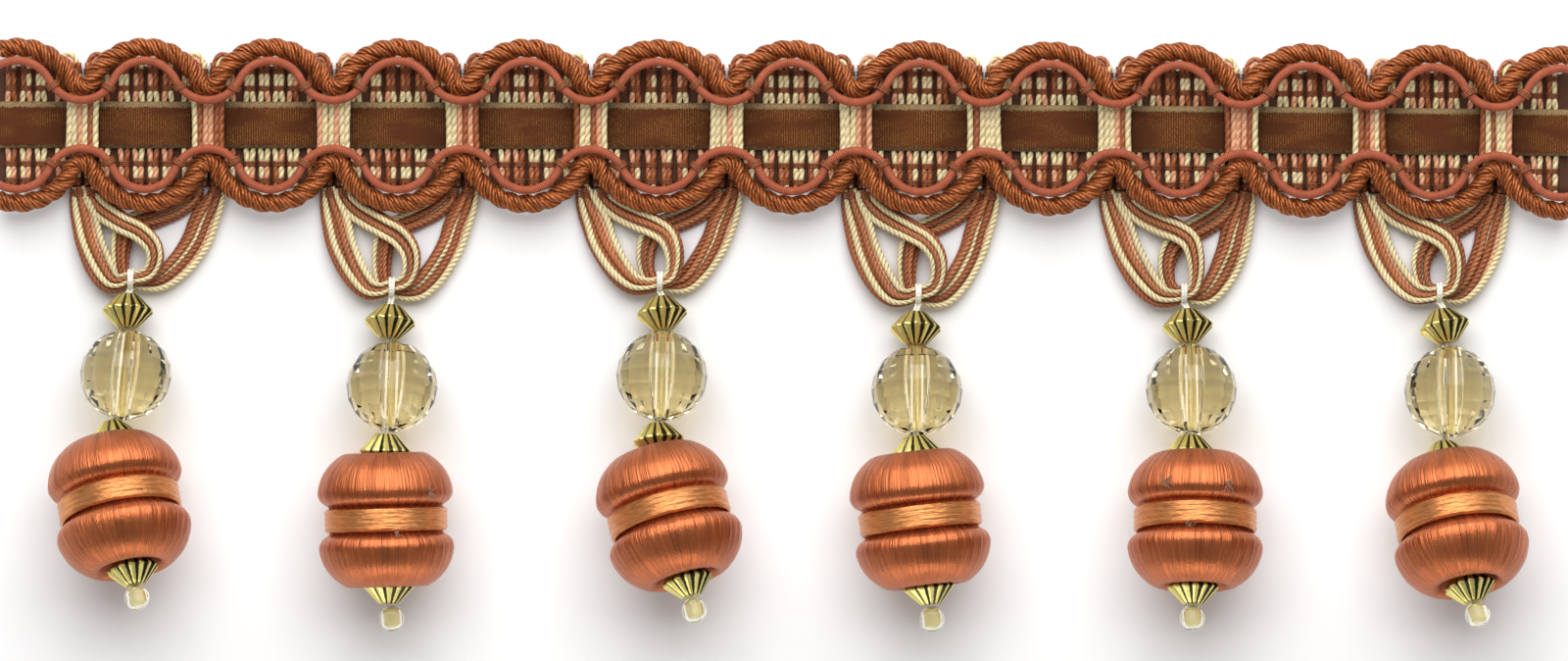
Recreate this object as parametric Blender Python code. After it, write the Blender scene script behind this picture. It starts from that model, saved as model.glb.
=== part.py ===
"""Beaded fringe trim: a cut length of braided heading with six bead drops, lying face up.

Metres, +Z up. X runs along the trim, the back of the heading is flat on z = 0.
"""
import math
from collections import namedtuple

import bmesh
import bpy
from mathutils import Vector

MM = 0.001

# Heading
HALF_LENGTH = 155.3 * MM
BOW_LEFT = 0.5 * MM
BOW_RIGHT = -1.1 * MM
SCALLOP_PITCH = 25.4 * MM
WEB_TOP_EDGE = 13.0 * MM
WEB_LOW_EDGE = 12.2 * MM
WEB_THICKNESS = 1.1 * MM
RIB_HEIGHT = 2.1 * MM
RIBS_PER_WINDOW = 4
WINDOW_MARGIN = 4.6 * MM
RIB_END_SLOPE = 0.5 * MM
RIBBON_SLOT_HALF = 5.1 * MM

# Velvet ribbon
RIBBON_HALF_WIDTH = 4.54 * MM
RIBBON_BACK = 1.4 * MM
RIBBON_THICKNESS = 1.0 * MM
RIBBON_BULGE = 0.7 * MM
SELVEDGE_DROP = 0.4 * MM

# Bars of cords across the ribbon
BAR_HALF_WIDTH = 3.5 * MM
BAR_CORDS = 3
BAR_UNDERSIDE = 2.75 * MM
BAR_TOP = 4.0 * MM
BAR_GROOVE = 0.45 * MM
BAR_INNER_REACH = 4.98 * MM
BAR_FOOT_REACH = 5.9 * MM
BAR_SHOULDER = 0.15 * MM
BAR_FOOT_DEPTH = 0.5 * MM

# Scalloped rope and gimp
ROPE_RADIUS = 2.0 * MM
ROPE_GROOVE_RADIUS = 1.62 * MM
ROPE_HEIGHT = 4.55 * MM
ROPE_VALLEY_RADIUS = 2.15 * MM
ROPE_STRANDS = 3
GIMP_RADIUS = 0.95 * MM
GIMP_INSET = 2.7 * MM
GIMP_VALLEY_RADIUS = 7.0 * MM
GIMP_HEIGHT = 6.45 * MM
GIMP_SIDES = 4
UPPER_CREST = 15.3 * MM
UPPER_VALLEY = 7.5 * MM
LOWER_CREST = 15.5 * MM
LOWER_VALLEY = 7.4 * MM
ROPE_CREST_STEPS = 6
ROPE_VALLEY_STEPS = 1
GIMP_CREST_STEPS = 2
GIMP_VALLEY_STEPS = 2

# Hanks of cord
HANK_HALF_HEIGHT = 0.72 * MM
HANK_GROOVE = 0.5 * MM
HANK_RIDGES = 3
HANK_SEGMENTS = 15
ROOT_LINE = -11.7 * MM
ROOT_BLOCK_HALF_WIDTH = 2.9 * MM
ROOT_BLOCK_DROP = 0.85 * MM
ROOT_BLOCK_HEIGHT = 1.2 * MM
ROOT_BLOCK_BASE = 0.5 * MM
ROOT_BLOCK_THICKNESS = 2.1 * MM
TIE_BLOCK = (0.8 * MM, 0.8 * MM)
TIE_BLOCK_BASE = 2.2 * MM
TIE_BLOCK_TOP = 4.75 * MM

# Tie thread around the crossing
TIE_INNER_UPPER = 2.35 * MM
TIE_INNER_LOWER = 1.55 * MM
TIE_INNER_BASE = 1.4 * MM
TIE_INNER_TOP = 5.6 * MM
TIE_THICKNESS = 0.4 * MM
TIE_HALF_WIDTH = 0.4 * MM
TIE_SHIFT = 0.45 * MM
TIE_LEAN = 0.2

# Beads
BICONE_TIP_RADIUS = 2.1 * MM
BICONE_RIDGE_RADIUS = 5.15 * MM
BICONE_GROOVE_RADIUS = 4.65 * MM
BICONE_HALF_LENGTH = 3.35 * MM
BICONE_FLUTES = 14
CRYSTAL_RADIUS = 9.0 * MM
CRYSTAL_SIDES = 10
CRYSTAL_BORE = 1.1 * MM
CRYSTAL_BORE_SIDES = 5
SPOOL_SIDES = 12
BAND_INNER = 11.4 * MM
BAND_OUTER = 12.05 * MM
BAND_HALF_HEIGHT = 2.2 * MM
BAND_CHAMFER = 0.3 * MM
END_BEAD_SIDES = 7

# Spool outline on one side of its waist: radius and distance from the middle
SpoolRing = namedtuple("SpoolRing", "radius along")
SPOOL_RINGS = (
    SpoolRing(11.0 * MM, 2.8 * MM),
    SpoolRing(13.25 * MM, 5.9 * MM),
    SpoolRing(11.4 * MM, 10.3 * MM),
    SpoolRing(6.6 * MM, 13.2 * MM),
    SpoolRing(3.6 * MM, 9.4 * MM),
)
END_RINGS = (
    SpoolRing(0.9 * MM, -2.2 * MM),
    SpoolRing(2.05 * MM, -0.9 * MM),
    SpoolRing(2.05 * MM, 0.9 * MM),
    SpoolRing(0.9 * MM, 2.2 * MM),
)

# Valleys between scallops along x, from left to right; a hank leaves below each
Valley = namedtuple("Valley", "x")
VALLEYS = (
    Valley(-164.1 * MM),
    Valley(-138.7 * MM),
    Valley(-113.8 * MM),
    Valley(-89.0 * MM),
    Valley(-63.6 * MM),
    Valley(-38.2 * MM),
    Valley(-11.3 * MM),
    Valley(14.2 * MM),
    Valley(39.6 * MM),
    Valley(65.4 * MM),
    Valley(90.4 * MM),
    Valley(115.7 * MM),
    Valley(140.7 * MM),
    Valley(166.1 * MM),
)

# Centre line of a hank, from its outer root round the tie and back to its inner root.
# along: 0 at the root valley, 1 at the tie; reach: share of the curl past the tie;
# down: 0 at the root line, 1 at the tie; spread: width over all locks; front, back: height
HankRow = namedtuple("HankRow", "along reach down spread front back")
HANK_ROWS = (
    HankRow(-0.12, 0.0, 0.095, 2.3 * MM, 1.5 * MM, 1.5 * MM),
    HankRow(-0.06, 0.0, 0.18, 3.7 * MM, 1.5 * MM, 1.3 * MM),
    HankRow(0.06, 0.0, 0.38, 5.2 * MM, 1.8 * MM, 1.2 * MM),
    HankRow(0.17, 0.0, 0.59, 5.2 * MM, 2.4 * MM, 1.2 * MM),
    HankRow(0.37, 0.0, 0.82, 4.8 * MM, 3.1 * MM, 1.3 * MM),
    HankRow(0.60, 0.0, 0.98, 3.9 * MM, 3.8 * MM, 1.7 * MM),
    HankRow(0.83, 0.0, 1.01, 2.5 * MM, 4.25 * MM, 2.3 * MM),
    HankRow(1.00, 0.0, 0.98, 1.9 * MM, 4.3 * MM, 2.6 * MM),
    HankRow(1.00, 0.72, 0.93, 2.2 * MM, 4.3 * MM, 2.5 * MM),
    HankRow(1.00, 1.0, 0.79, 2.8 * MM, 4.3 * MM, 2.3 * MM),
    HankRow(1.00, 0.92, 0.63, 3.4 * MM, 4.3 * MM, 2.1 * MM),
    HankRow(1.00, 0.45, 0.49, 3.9 * MM, 4.2 * MM, 1.9 * MM),
    HankRow(0.90, 0.0, 0.40, 3.9 * MM, 3.7 * MM, 1.6 * MM),
    HankRow(0.63, 0.0, 0.32, 4.1 * MM, 2.3 * MM, 1.3 * MM),
    HankRow(0.39, 0.0, 0.235, 4.0 * MM, 1.5 * MM, 1.3 * MM),
    HankRow(0.21, 0.0, 0.13, 3.4 * MM, 1.4 * MM, 1.3 * MM),
    HankRow(0.14, 0.0, 0.09, 2.3 * MM, 1.5 * MM, 1.5 * MM),
)

# Drops: valley indices of the two hanks, tie point, reach of the two curls past the tie
Drop = namedtuple("Drop", "left right tie_x tie_y front_curl back_curl")
DROPS = (
    Drop(1, 2, -129.9 * MM, -31.0 * MM, 5.6 * MM, 1.5 * MM),
    Drop(3, 4, -78.1 * MM, -32.6 * MM, 4.6 * MM, 1.5 * MM),
    Drop(5, 6, -24.6 * MM, -31.4 * MM, 2.9 * MM, 2.6 * MM),
    Drop(7, 8, 26.0 * MM, -33.9 * MM, 4.6 * MM, 1.8 * MM),
    Drop(9, 10, 79.4 * MM, -33.8 * MM, 2.0 * MM, 3.8 * MM),
    Drop(11, 12, 129.6 * MM, -33.6 * MM, 3.1 * MM, 3.7 * MM),
)

# Beads of each drop: place in plan, turn in plan (degrees, low end to the right is plus)
Seat = namedtuple("Seat", "x y turn")
String = namedtuple("String", "top crystal mid spool low end")
STRINGS = (
    String(
        Seat(-129.6 * MM, -36.4 * MM, -1.0),
        Seat(-129.8 * MM, -48.9 * MM, 0.0),
        Seat(-132.0 * MM, -61.35 * MM, 8.0),
        Seat(-130.7 * MM, -74.5 * MM, 11.2),
        Seat(-127.9 * MM, -87.0 * MM, 11.2),
        Seat(-126.9 * MM, -92.6 * MM, 11.2),
    ),
    String(
        Seat(-77.8 * MM, -38.6 * MM, -4.0),
        Seat(-77.3 * MM, -51.2 * MM, 0.0),
        Seat(-78.5 * MM, -63.8 * MM, -1.0),
        Seat(-78.3 * MM, -77.4 * MM, 1.6),
        Seat(-77.8 * MM, -90.5 * MM, 0.0),
        Seat(-77.2 * MM, -96.8 * MM, 6.0),
    ),
    String(
        Seat(-24.1 * MM, -36.9 * MM, 5.0),
        Seat(-24.1 * MM, -49.1 * MM, 3.0),
        Seat(-24.7 * MM, -61.8 * MM, 6.0),
        Seat(-22.6 * MM, -76.6 * MM, 15.0),
        Seat(-19.0 * MM, -89.2 * MM, 15.4),
        Seat(-17.6 * MM, -95.1 * MM, 12.0),
    ),
    String(
        Seat(26.0 * MM, -39.9 * MM, 0.0),
        Seat(26.2 * MM, -52.0 * MM, 0.0),
        Seat(26.0 * MM, -64.22 * MM, 6.0),
        Seat(26.8 * MM, -77.3 * MM, 6.6),
        Seat(28.5 * MM, -90.7 * MM, 7.5),
        Seat(29.1 * MM, -96.9 * MM, 4.0),
    ),
    String(
        Seat(79.7 * MM, -39.4 * MM, 4.0),
        Seat(80.3 * MM, -51.8 * MM, 0.0),
        Seat(80.0 * MM, -64.2 * MM, 0.0),
        Seat(80.9 * MM, -77.5 * MM, -0.7),
        Seat(80.4 * MM, -90.6 * MM, 0.0),
        Seat(80.2 * MM, -96.6 * MM, 0.0),
    ),
    String(
        Seat(130.4 * MM, -39.4 * MM, 13.0),
        Seat(131.3 * MM, -52.2 * MM, 8.0),
        Seat(130.3 * MM, -65.4 * MM, 9.0),
        Seat(132.4 * MM, -78.0 * MM, 8.8),
        Seat(134.6 * MM, -90.4 * MM, 12.0),
        Seat(136.0 * MM, -95.9 * MM, 14.0),
    ),
)

# Rise of each drop's lower end towards the viewer, in degrees
SpoolTilt = namedtuple("SpoolTilt", "degrees")
SPOOL_TILTS = (
    SpoolTilt(17.0),
    SpoolTilt(1.0),
    SpoolTilt(14.0),
    SpoolTilt(4.0),
    SpoolTilt(10.0),
    SpoolTilt(20.0),
)
TOP_BICONE_HEIGHT = 5.6 * MM
TOP_BICONE_TILT = 16.0

# Colours: red, green, blue, then roughness and metallic
Finish = namedtuple("Finish", "red green blue roughness metallic")
FINISHES = {
    "web": Finish(0.56, 0.36, 0.20, 0.75, 0.0),
    "velvet": Finish(0.13, 0.045, 0.012, 0.85, 0.0),
    "rope": Finish(0.40, 0.125, 0.035, 0.5, 0.0),
    "gimp": Finish(0.52, 0.14, 0.07, 0.45, 0.0),
    "cords": Finish(0.62, 0.40, 0.24, 0.6, 0.0),
    "thread": Finish(0.80, 0.77, 0.68, 0.6, 0.0),
    "gold": Finish(0.50, 0.43, 0.13, 0.35, 0.9),
    "crystal": Finish(0.75, 0.64, 0.34, 0.08, 0.0),
    "floss": Finish(0.46, 0.12, 0.04, 0.32, 0.0),
    "band": Finish(0.60, 0.24, 0.09, 0.35, 0.0),
    "pale": Finish(0.70, 0.64, 0.24, 0.3, 0.0),
}


def clear_scene():
    for item in list(bpy.data.objects):
        bpy.data.objects.remove(item, do_unlink=True)


def material(name):
    finish = FINISHES[name]
    made = bpy.data.materials.get(name) or bpy.data.materials.new(name)
    made.use_nodes = True
    shader = made.node_tree.nodes["Principled BSDF"]
    shader.inputs["Base Color"].default_value = (finish.red, finish.green, finish.blue, 1.0)
    shader.inputs["Roughness"].default_value = finish.roughness
    shader.inputs["Metallic"].default_value = finish.metallic
    made.diffuse_color = (finish.red, finish.green, finish.blue, 1.0)
    return made


def make_mesh(name, verts, faces, finish, smooth):
    mesh = bpy.data.meshes.new(name)
    mesh.from_pydata([tuple(v) for v in verts], [], faces)
    work = bmesh.new()
    work.from_mesh(mesh)
    bmesh.ops.recalc_face_normals(work, faces=work.faces)
    work.to_mesh(mesh)
    work.free()
    for face in mesh.polygons:
        face.use_smooth = smooth
    mesh.materials.append(material(finish))
    return mesh


def add_object(name, mesh):
    item = bpy.data.objects.new(name, mesh)
    bpy.context.scene.collection.objects.link(item)
    return item


def unite(item, verts, faces):
    """Join a second closed shape to an object with a live exact Boolean."""
    mesh = make_mesh(item.name + "_join", verts, faces, "web", False)
    other = add_object(item.name + "_join", mesh)
    other.hide_render = True
    other.display_type = "WIRE"
    join = item.modifiers.new("join", "BOOLEAN")
    join.operation = "UNION"
    join.solver = "EXACT"
    join.object = other


def rings_to_faces(rings, sides, shift=0, start=0):
    """Side faces and two end caps over rings of the same number of points."""
    faces = []
    for row in range(rings - 1):
        near = start + row * sides
        far = near + sides
        for k in range(sides):
            nxt = (k + 1) % sides
            a = near + k
            b = near + nxt
            c = far + (nxt + shift) % sides
            d = far + (k + shift) % sides
            faces.append((a, b, d))
            faces.append((b, c, d))
    faces.append(tuple(start + k for k in reversed(range(sides))))
    faces.append(tuple(start + (rings - 1) * sides + k for k in range(sides)))
    return faces


def drift(x):
    """Slight natural bow of the heading: its centre line falls towards the right end."""
    share = (x + HALF_LENGTH) / (2.0 * HALF_LENGTH)
    return BOW_LEFT + (BOW_RIGHT - BOW_LEFT) * share * share


def half_scallop(from_x, to_x, valley, crest, small, crest_steps, valley_steps):
    """Points from a valley to the next crest: a small arc turning into a broad arc."""
    span = to_x - from_x
    rise = crest - valley
    angle = 2.0 * math.atan(rise / abs(span))
    total = abs(span) / math.sin(angle)
    broad = total - small
    points = []
    for k in range(valley_steps):
        turn = angle * k / valley_steps
        points.append((small * math.sin(turn), small * (1.0 - math.cos(turn))))
    for k in range(crest_steps + 1):
        turn = angle * (1.0 - k / crest_steps)
        points.append((abs(span) - broad * math.sin(turn), rise - broad * (1.0 - math.cos(turn))))
    way = math.copysign(1.0, span)
    return [(from_x + way * px, valley + py) for px, py in points]


def scallop_line(valley, crest, small, crest_steps, valley_steps):
    """The scalloped line over all valleys, cut off at both ends of the trim."""
    line = []
    for here, there in zip(VALLEYS, VALLEYS[1:]):
        middle = (here.x + there.x) / 2.0
        steps = (crest_steps, valley_steps)
        rising = half_scallop(here.x, middle, valley, crest, small, *steps)
        falling = half_scallop(there.x, middle, valley, crest, small, *steps)
        line.extend(rising)
        line.extend(reversed(falling[1:-1]))
    kept = [p for p in line if abs(p[0]) < HALF_LENGTH - 0.4 * MM]
    first = line.index(kept[0])
    last = line.index(kept[-1])
    ends = (cut(line[first - 1], line[first]), cut(line[last + 1], line[last]))
    return [ends[0]] + kept + [ends[1]]


def cut(outside, inside):
    """Where a segment leaves the trim's length."""
    edge = math.copysign(HALF_LENGTH, outside[0])
    share = (edge - inside[0]) / (outside[0] - inside[0])
    return (edge, inside[1] + share * (outside[1] - inside[1]))


def sweep_flat(line, height, section, turn_step, shift):
    """Section points carried along a flat line; the section may turn at each step."""
    verts = []
    count = len(line)
    for index, (px, py) in enumerate(line):
        before = line[max(index - 1, 0)]
        after = line[min(index + 1, count - 1)]
        along = Vector((after[0] - before[0], after[1] - before[1], 0.0)).normalized()
        if index in (0, count - 1):
            along = Vector((1.0, 0.0, 0.0))
        side = Vector((-along.y, along.x, 0.0))
        turn = turn_step * index
        for radius, angle in section:
            across = radius * math.cos(angle + turn)
            up = radius * math.sin(angle + turn)
            verts.append(Vector((px, py + drift(px), height)) + side * across + Vector((0, 0, up)))
    sides = len(section)
    return verts, rings_to_faces(count, sides, shift)


def build_rope(name, way, crest, valley):
    line = scallop_line(valley, crest, ROPE_VALLEY_RADIUS, ROPE_CREST_STEPS, ROPE_VALLEY_STEPS)
    line = [(px, way * py) for px, py in line]
    sides = 2 * ROPE_STRANDS
    section = []
    for k in range(sides):
        radius = ROPE_RADIUS if k % 2 == 0 else ROPE_GROOVE_RADIUS
        section.append((radius, math.tau * k / sides))
    turn = math.tau / sides
    verts, faces = sweep_flat(line, ROPE_HEIGHT, section, turn, 0)
    add_object(name, make_mesh(name, verts, faces, "rope", True))


def build_gimp(name, way, crest, valley):
    line = scallop_line(
        valley - GIMP_INSET,
        crest - GIMP_INSET,
        GIMP_VALLEY_RADIUS,
        GIMP_CREST_STEPS,
        GIMP_VALLEY_STEPS,
    )
    line = [(px, way * py) for px, py in line]
    section = [(GIMP_RADIUS, math.tau * k / GIMP_SIDES) for k in range(GIMP_SIDES)]
    verts, faces = sweep_flat(line, GIMP_HEIGHT, section, 0.0, 0)
    add_object(name, make_mesh(name, verts, faces, "gimp", True))


def rib_stations():
    """Groove positions along the web and whether a rib stands between each pair."""
    grooves = [(-HALF_LENGTH, False)]
    for here, there in zip(VALLEYS, VALLEYS[1:]):
        low = here.x + WINDOW_MARGIN
        high = there.x - WINDOW_MARGIN
        for k in range(RIBS_PER_WINDOW + 1):
            x = low + (high - low) * k / RIBS_PER_WINDOW
            if abs(x) < HALF_LENGTH - MM:
                grooves.append((x, k < RIBS_PER_WINDOW))
    grooves.append((HALF_LENGTH, False))
    return grooves


def build_web():
    """Woven band with raised ribs either side of the ribbon's slot, flat at the back."""
    grooves = rib_stations()
    verts = []
    faces = []

    def point(x, y, z):
        verts.append((x, y + drift(x), z))
        return len(verts) - 1

    rows = {}
    for side, edge in ((1, WEB_TOP_EDGE), (-1, -WEB_LOW_EDGE)):
        slot = side * RIBBON_SLOT_HALF
        rows[side] = [
            (
                point(x, edge, 0.0),
                point(x, edge, WEB_THICKNESS),
                point(x, slot, WEB_THICKNESS),
            )
            for x, _ in grooves
        ]
    for index in range(len(grooves) - 1):
        x, ribbed = grooves[index]
        beyond = grooves[index + 1][0]
        middle = (x + beyond) / 2.0
        for side, edge in ((1, WEB_TOP_EDGE), (-1, -WEB_LOW_EDGE)):
            base, top, inner = rows[side][index]
            base_b, top_b, inner_b = rows[side][index + 1]
            faces.append((base, base_b, top_b, top))
            if not ribbed:
                faces.append((top, top_b, inner_b, inner))
                continue
            outer = point(middle, edge - side * RIB_END_SLOPE, RIB_HEIGHT)
            near = point(middle, side * (RIBBON_SLOT_HALF + RIB_END_SLOPE), RIB_HEIGHT)
            faces.append((top, top_b, outer))
            faces.append((top, outer, near, inner))
            faces.append((outer, top_b, inner_b, near))
            faces.append((inner, near, inner_b))
        upper = rows[1]
        lower = rows[-1]
        faces.append((upper[index][2], upper[index + 1][2], lower[index + 1][2], lower[index][2]))
        faces.append((upper[index][0], upper[index + 1][0], lower[index + 1][0], lower[index][0]))
    for index in (0, len(grooves) - 1):
        ring = rows[1][index] + tuple(reversed(rows[-1][index]))
        faces.append(ring)
    web = add_object("heading_web", make_mesh("heading_web", verts, faces, "web", False))
    unite(web, *bar_shapes())


def bar_section(x, top, groove):
    """Across one bar: ridges of its cords over a flat underside, as x and height pairs."""
    points = []
    columns = 2 * BAR_CORDS
    for k in range(columns + 1):
        share = k / columns
        place = x + BAR_HALF_WIDTH * (2.0 * share - 1.0)
        points.append((place, top if k % 2 == 1 else top - groove))
    return points


def bar_shapes():
    """All the bars over the ribbon, each with both feet sunk in the web."""
    verts = []
    faces = []
    for valley in VALLEYS[1:-1]:
        stations = (
            (BAR_FOOT_REACH, BAR_FOOT_DEPTH, BAR_INNER_REACH, BAR_FOOT_DEPTH),
            (BAR_INNER_REACH + BAR_SHOULDER, BAR_TOP, BAR_INNER_REACH - 0.3 * MM, BAR_UNDERSIDE),
            (-BAR_INNER_REACH - BAR_SHOULDER, BAR_TOP, -BAR_INNER_REACH + 0.3 * MM, BAR_UNDERSIDE),
            (-BAR_FOOT_REACH, BAR_FOOT_DEPTH, -BAR_INNER_REACH, BAR_FOOT_DEPTH),
        )
        sides = 2 * BAR_CORDS + 3
        start = len(verts)
        for outer_y, outer_z, inner_y, inner_z in stations:
            groove = BAR_GROOVE if outer_z > inner_z else 0.0
            for x, z in bar_section(valley.x, outer_z, groove):
                verts.append((x, outer_y + drift(x), z))
            for x in (valley.x + BAR_HALF_WIDTH, valley.x - BAR_HALF_WIDTH):
                verts.append((x, inner_y + drift(x), inner_z))
        faces.extend(rings_to_faces(len(stations), sides, 0, start))
    return verts, faces


def build_ribbon():
    """Flat ribbon, low under each bar and rounded up between bars."""
    stations = [(-HALF_LENGTH, 0.6)]
    for here, there in zip(VALLEYS, VALLEYS[1:]):
        span = there.x - here.x
        stations.append((here.x - BAR_HALF_WIDTH, 0.0))
        stations.append((here.x + BAR_HALF_WIDTH, 0.0))
        stations.append((here.x + 0.36 * span, 1.0))
        stations.append((here.x + 0.64 * span, 1.0))
    stations.append((HALF_LENGTH, 0.6))
    stations = sorted(s for s in stations if abs(s[0]) <= HALF_LENGTH)
    verts = []
    for x, lift in stations:
        back = RIBBON_BACK + 0.4 * RIBBON_BULGE * lift
        top = RIBBON_BACK + RIBBON_THICKNESS + RIBBON_BULGE * lift
        middle = drift(x)
        crown = RIBBON_HALF_WIDTH - 0.9 * MM
        verts.append((x, middle + RIBBON_HALF_WIDTH, back))
        verts.append((x, middle + crown, top))
        verts.append((x, middle - crown, top))
        verts.append((x, middle - RIBBON_HALF_WIDTH, back))
    faces = rings_to_faces(len(stations), 4)
    add_object("velvet_ribbon", make_mesh("velvet_ribbon", verts, faces, "velvet", False))


def blend(rows, place):
    """Smooth value between table rows at a fractional row number (Catmull-Rom)."""
    last = len(rows) - 1
    index = min(int(place), last - 1)
    share = place - index
    picks = [rows[min(max(index + k, 0), last)] for k in (-1, 0, 1, 2)]
    values = []
    for p0, p1, p2, p3 in zip(*picks):
        value = 0.5 * (
            2.0 * p1
            + (p2 - p0) * share
            + (2.0 * p0 - 5.0 * p1 + 4.0 * p2 - p3) * share**2
            + (3.0 * p1 - p0 - 3.0 * p2 + p3) * share**3
        )
        values.append(value)
    return values


def hank_point(row, root_x, drop, curl, way, is_front):
    along, reach, down, spread, front, back = row
    root_y = ROOT_LINE + drift(root_x)
    x = root_x + along * (drop.tie_x - root_x) + way * reach * curl
    y = root_y + down * (drop.tie_y + TIE_SHIFT - root_y)
    return Vector((x, y, front if is_front else back)), spread


def even_places(root_x, drop, curl, way, is_front):
    """Fractional row numbers that divide the hank's centre line into equal lengths."""
    fine = 160
    last = len(HANK_ROWS) - 1
    places = [last * k / fine for k in range(fine + 1)]
    points = [hank_point(blend(HANK_ROWS, p), root_x, drop, curl, way, is_front)[0] for p in places]
    run = [0.0]
    for a, b in zip(points, points[1:]):
        run.append(run[-1] + (b - a).length)
    chosen = []
    index = 0
    for k in range(HANK_SEGMENTS + 1):
        target = run[-1] * k / HANK_SEGMENTS
        while index < fine - 1 and run[index + 1] < target:
            index += 1
        share = (target - run[index]) / (run[index + 1] - run[index])
        chosen.append(places[index] + share * (places[index + 1] - places[index]))
    return chosen


def hank_section():
    """Across a hank: side to side and up, over a flat underside with raised cords on top."""
    points = [(-1.0, -1.0), (1.0, -1.0)]
    columns = 2 * HANK_RIDGES
    for k in range(columns - 1):
        share = 1.0 - 2.0 * (k + 1) / columns
        up = HANK_HALF_HEIGHT if k % 2 == 0 else HANK_HALF_HEIGHT - HANK_GROOVE
        points.append((share, up / HANK_HALF_HEIGHT))
    return points


def hank_shapes(drop):
    """Both hanks of a drop, each one lock with its cords raised along it."""
    verts = []
    faces = []
    section = hank_section()
    last = len(HANK_ROWS) - 1.0
    near = 0.02
    for way, valley, curl, is_front in (
        (1.0, VALLEYS[drop.left], drop.front_curl, True),
        (-1.0, VALLEYS[drop.right], drop.back_curl, False),
    ):
        options = (valley.x, drop, curl, way, is_front)
        places = even_places(*options)
        start = len(verts)
        for spot in places:
            centre, spread = hank_point(blend(HANK_ROWS, spot), *options)
            before = hank_point(blend(HANK_ROWS, max(spot - near, 0.0)), *options)[0]
            after = hank_point(blend(HANK_ROWS, min(spot + near, last)), *options)[0]
            along = after - before
            side = Vector((-along.y, along.x, 0.0)).normalized()
            for across, up in section:
                rise = Vector((0.0, 0.0, up * HANK_HALF_HEIGHT))
                verts.append(centre + side * across * spread / 2.0 + rise)
        faces.extend(rings_to_faces(len(places), len(section), 0, start))
    return verts, faces


def box_shape(verts, faces, low, high):
    start = len(verts)
    for z in (low[2], high[2]):
        verts.append((low[0], low[1], z))
        verts.append((high[0], low[1], z))
        verts.append((high[0], high[1], z))
        verts.append((low[0], high[1], z))
    faces.extend(rings_to_faces(2, 4, 0, start))


def tie_place(drop):
    """Where the thread binds both hanks, a little towards the wider curl."""
    return drop.tie_x + TIE_LEAN * (drop.front_curl - drop.back_curl)


def build_loops(number, drop):
    """Two looped hanks of cord, fused in their bound roots and where they are tied."""
    name = f"cord_loops_{number}"
    verts, faces = hank_shapes(drop)
    loops = add_object(name, make_mesh(name, verts, faces, "cords", False))
    block_verts = []
    block_faces = []
    for valley in (VALLEYS[drop.left], VALLEYS[drop.right]):
        line = ROOT_LINE - ROOT_BLOCK_DROP + drift(valley.x)
        low = (valley.x - ROOT_BLOCK_HALF_WIDTH, line - ROOT_BLOCK_HEIGHT, ROOT_BLOCK_BASE)
        top = ROOT_BLOCK_BASE + ROOT_BLOCK_THICKNESS
        high = (valley.x + ROOT_BLOCK_HALF_WIDTH, line, top)
        box_shape(block_verts, block_faces, low, high)
    half_x, half_y = TIE_BLOCK
    middle_y = drop.tie_y + TIE_SHIFT
    middle_x = tie_place(drop)
    low = (middle_x - half_x, middle_y - half_y, TIE_BLOCK_BASE)
    high = (middle_x + half_x, middle_y + half_y, TIE_BLOCK_TOP)
    box_shape(block_verts, block_faces, low, high)
    unite(loops, block_verts, block_faces)


def build_tie(number, drop):
    """A flat closed turn of thread round both hanks."""
    name = f"tie_thread_{number}"
    middle = drop.tie_y + TIE_SHIFT
    verts = []
    for x in (-TIE_HALF_WIDTH, TIE_HALF_WIDTH):
        for growth in (0.0, TIE_THICKNESS):
            upper = TIE_INNER_UPPER + growth
            lower = -TIE_INNER_LOWER - growth
            for y, z in (
                (upper, TIE_INNER_BASE - growth),
                (upper, TIE_INNER_TOP + growth),
                (lower, TIE_INNER_TOP + growth),
                (lower, TIE_INNER_BASE - growth),
            ):
                verts.append((tie_place(drop) + x, middle + y, z))
    faces = []
    corners = 4
    inner_a, outer_a, inner_b, outer_b = (block * corners for block in range(4))
    for k in range(corners):
        nxt = (k + 1) % corners
        faces.append((inner_a + k, inner_a + nxt, outer_a + nxt, outer_a + k))
        faces.append((inner_b + k, inner_b + nxt, outer_b + nxt, outer_b + k))
        faces.append((inner_a + k, inner_a + nxt, inner_b + nxt, inner_b + k))
        faces.append((outer_a + k, outer_a + nxt, outer_b + nxt, outer_b + k))
    add_object(name, make_mesh(name, verts, faces, "thread", False))


def lathe(name, rings, sides, finish, smooth):
    """Closed turned shape on the local Z axis, flat at both ends."""
    verts = []
    for ring in rings:
        for k in range(sides):
            angle = math.tau * k / sides
            x = ring.radius * math.cos(angle)
            verts.append((x, ring.radius * math.sin(angle), ring.along))
    return make_mesh(name, verts, rings_to_faces(len(rings), sides), finish, smooth)


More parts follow.
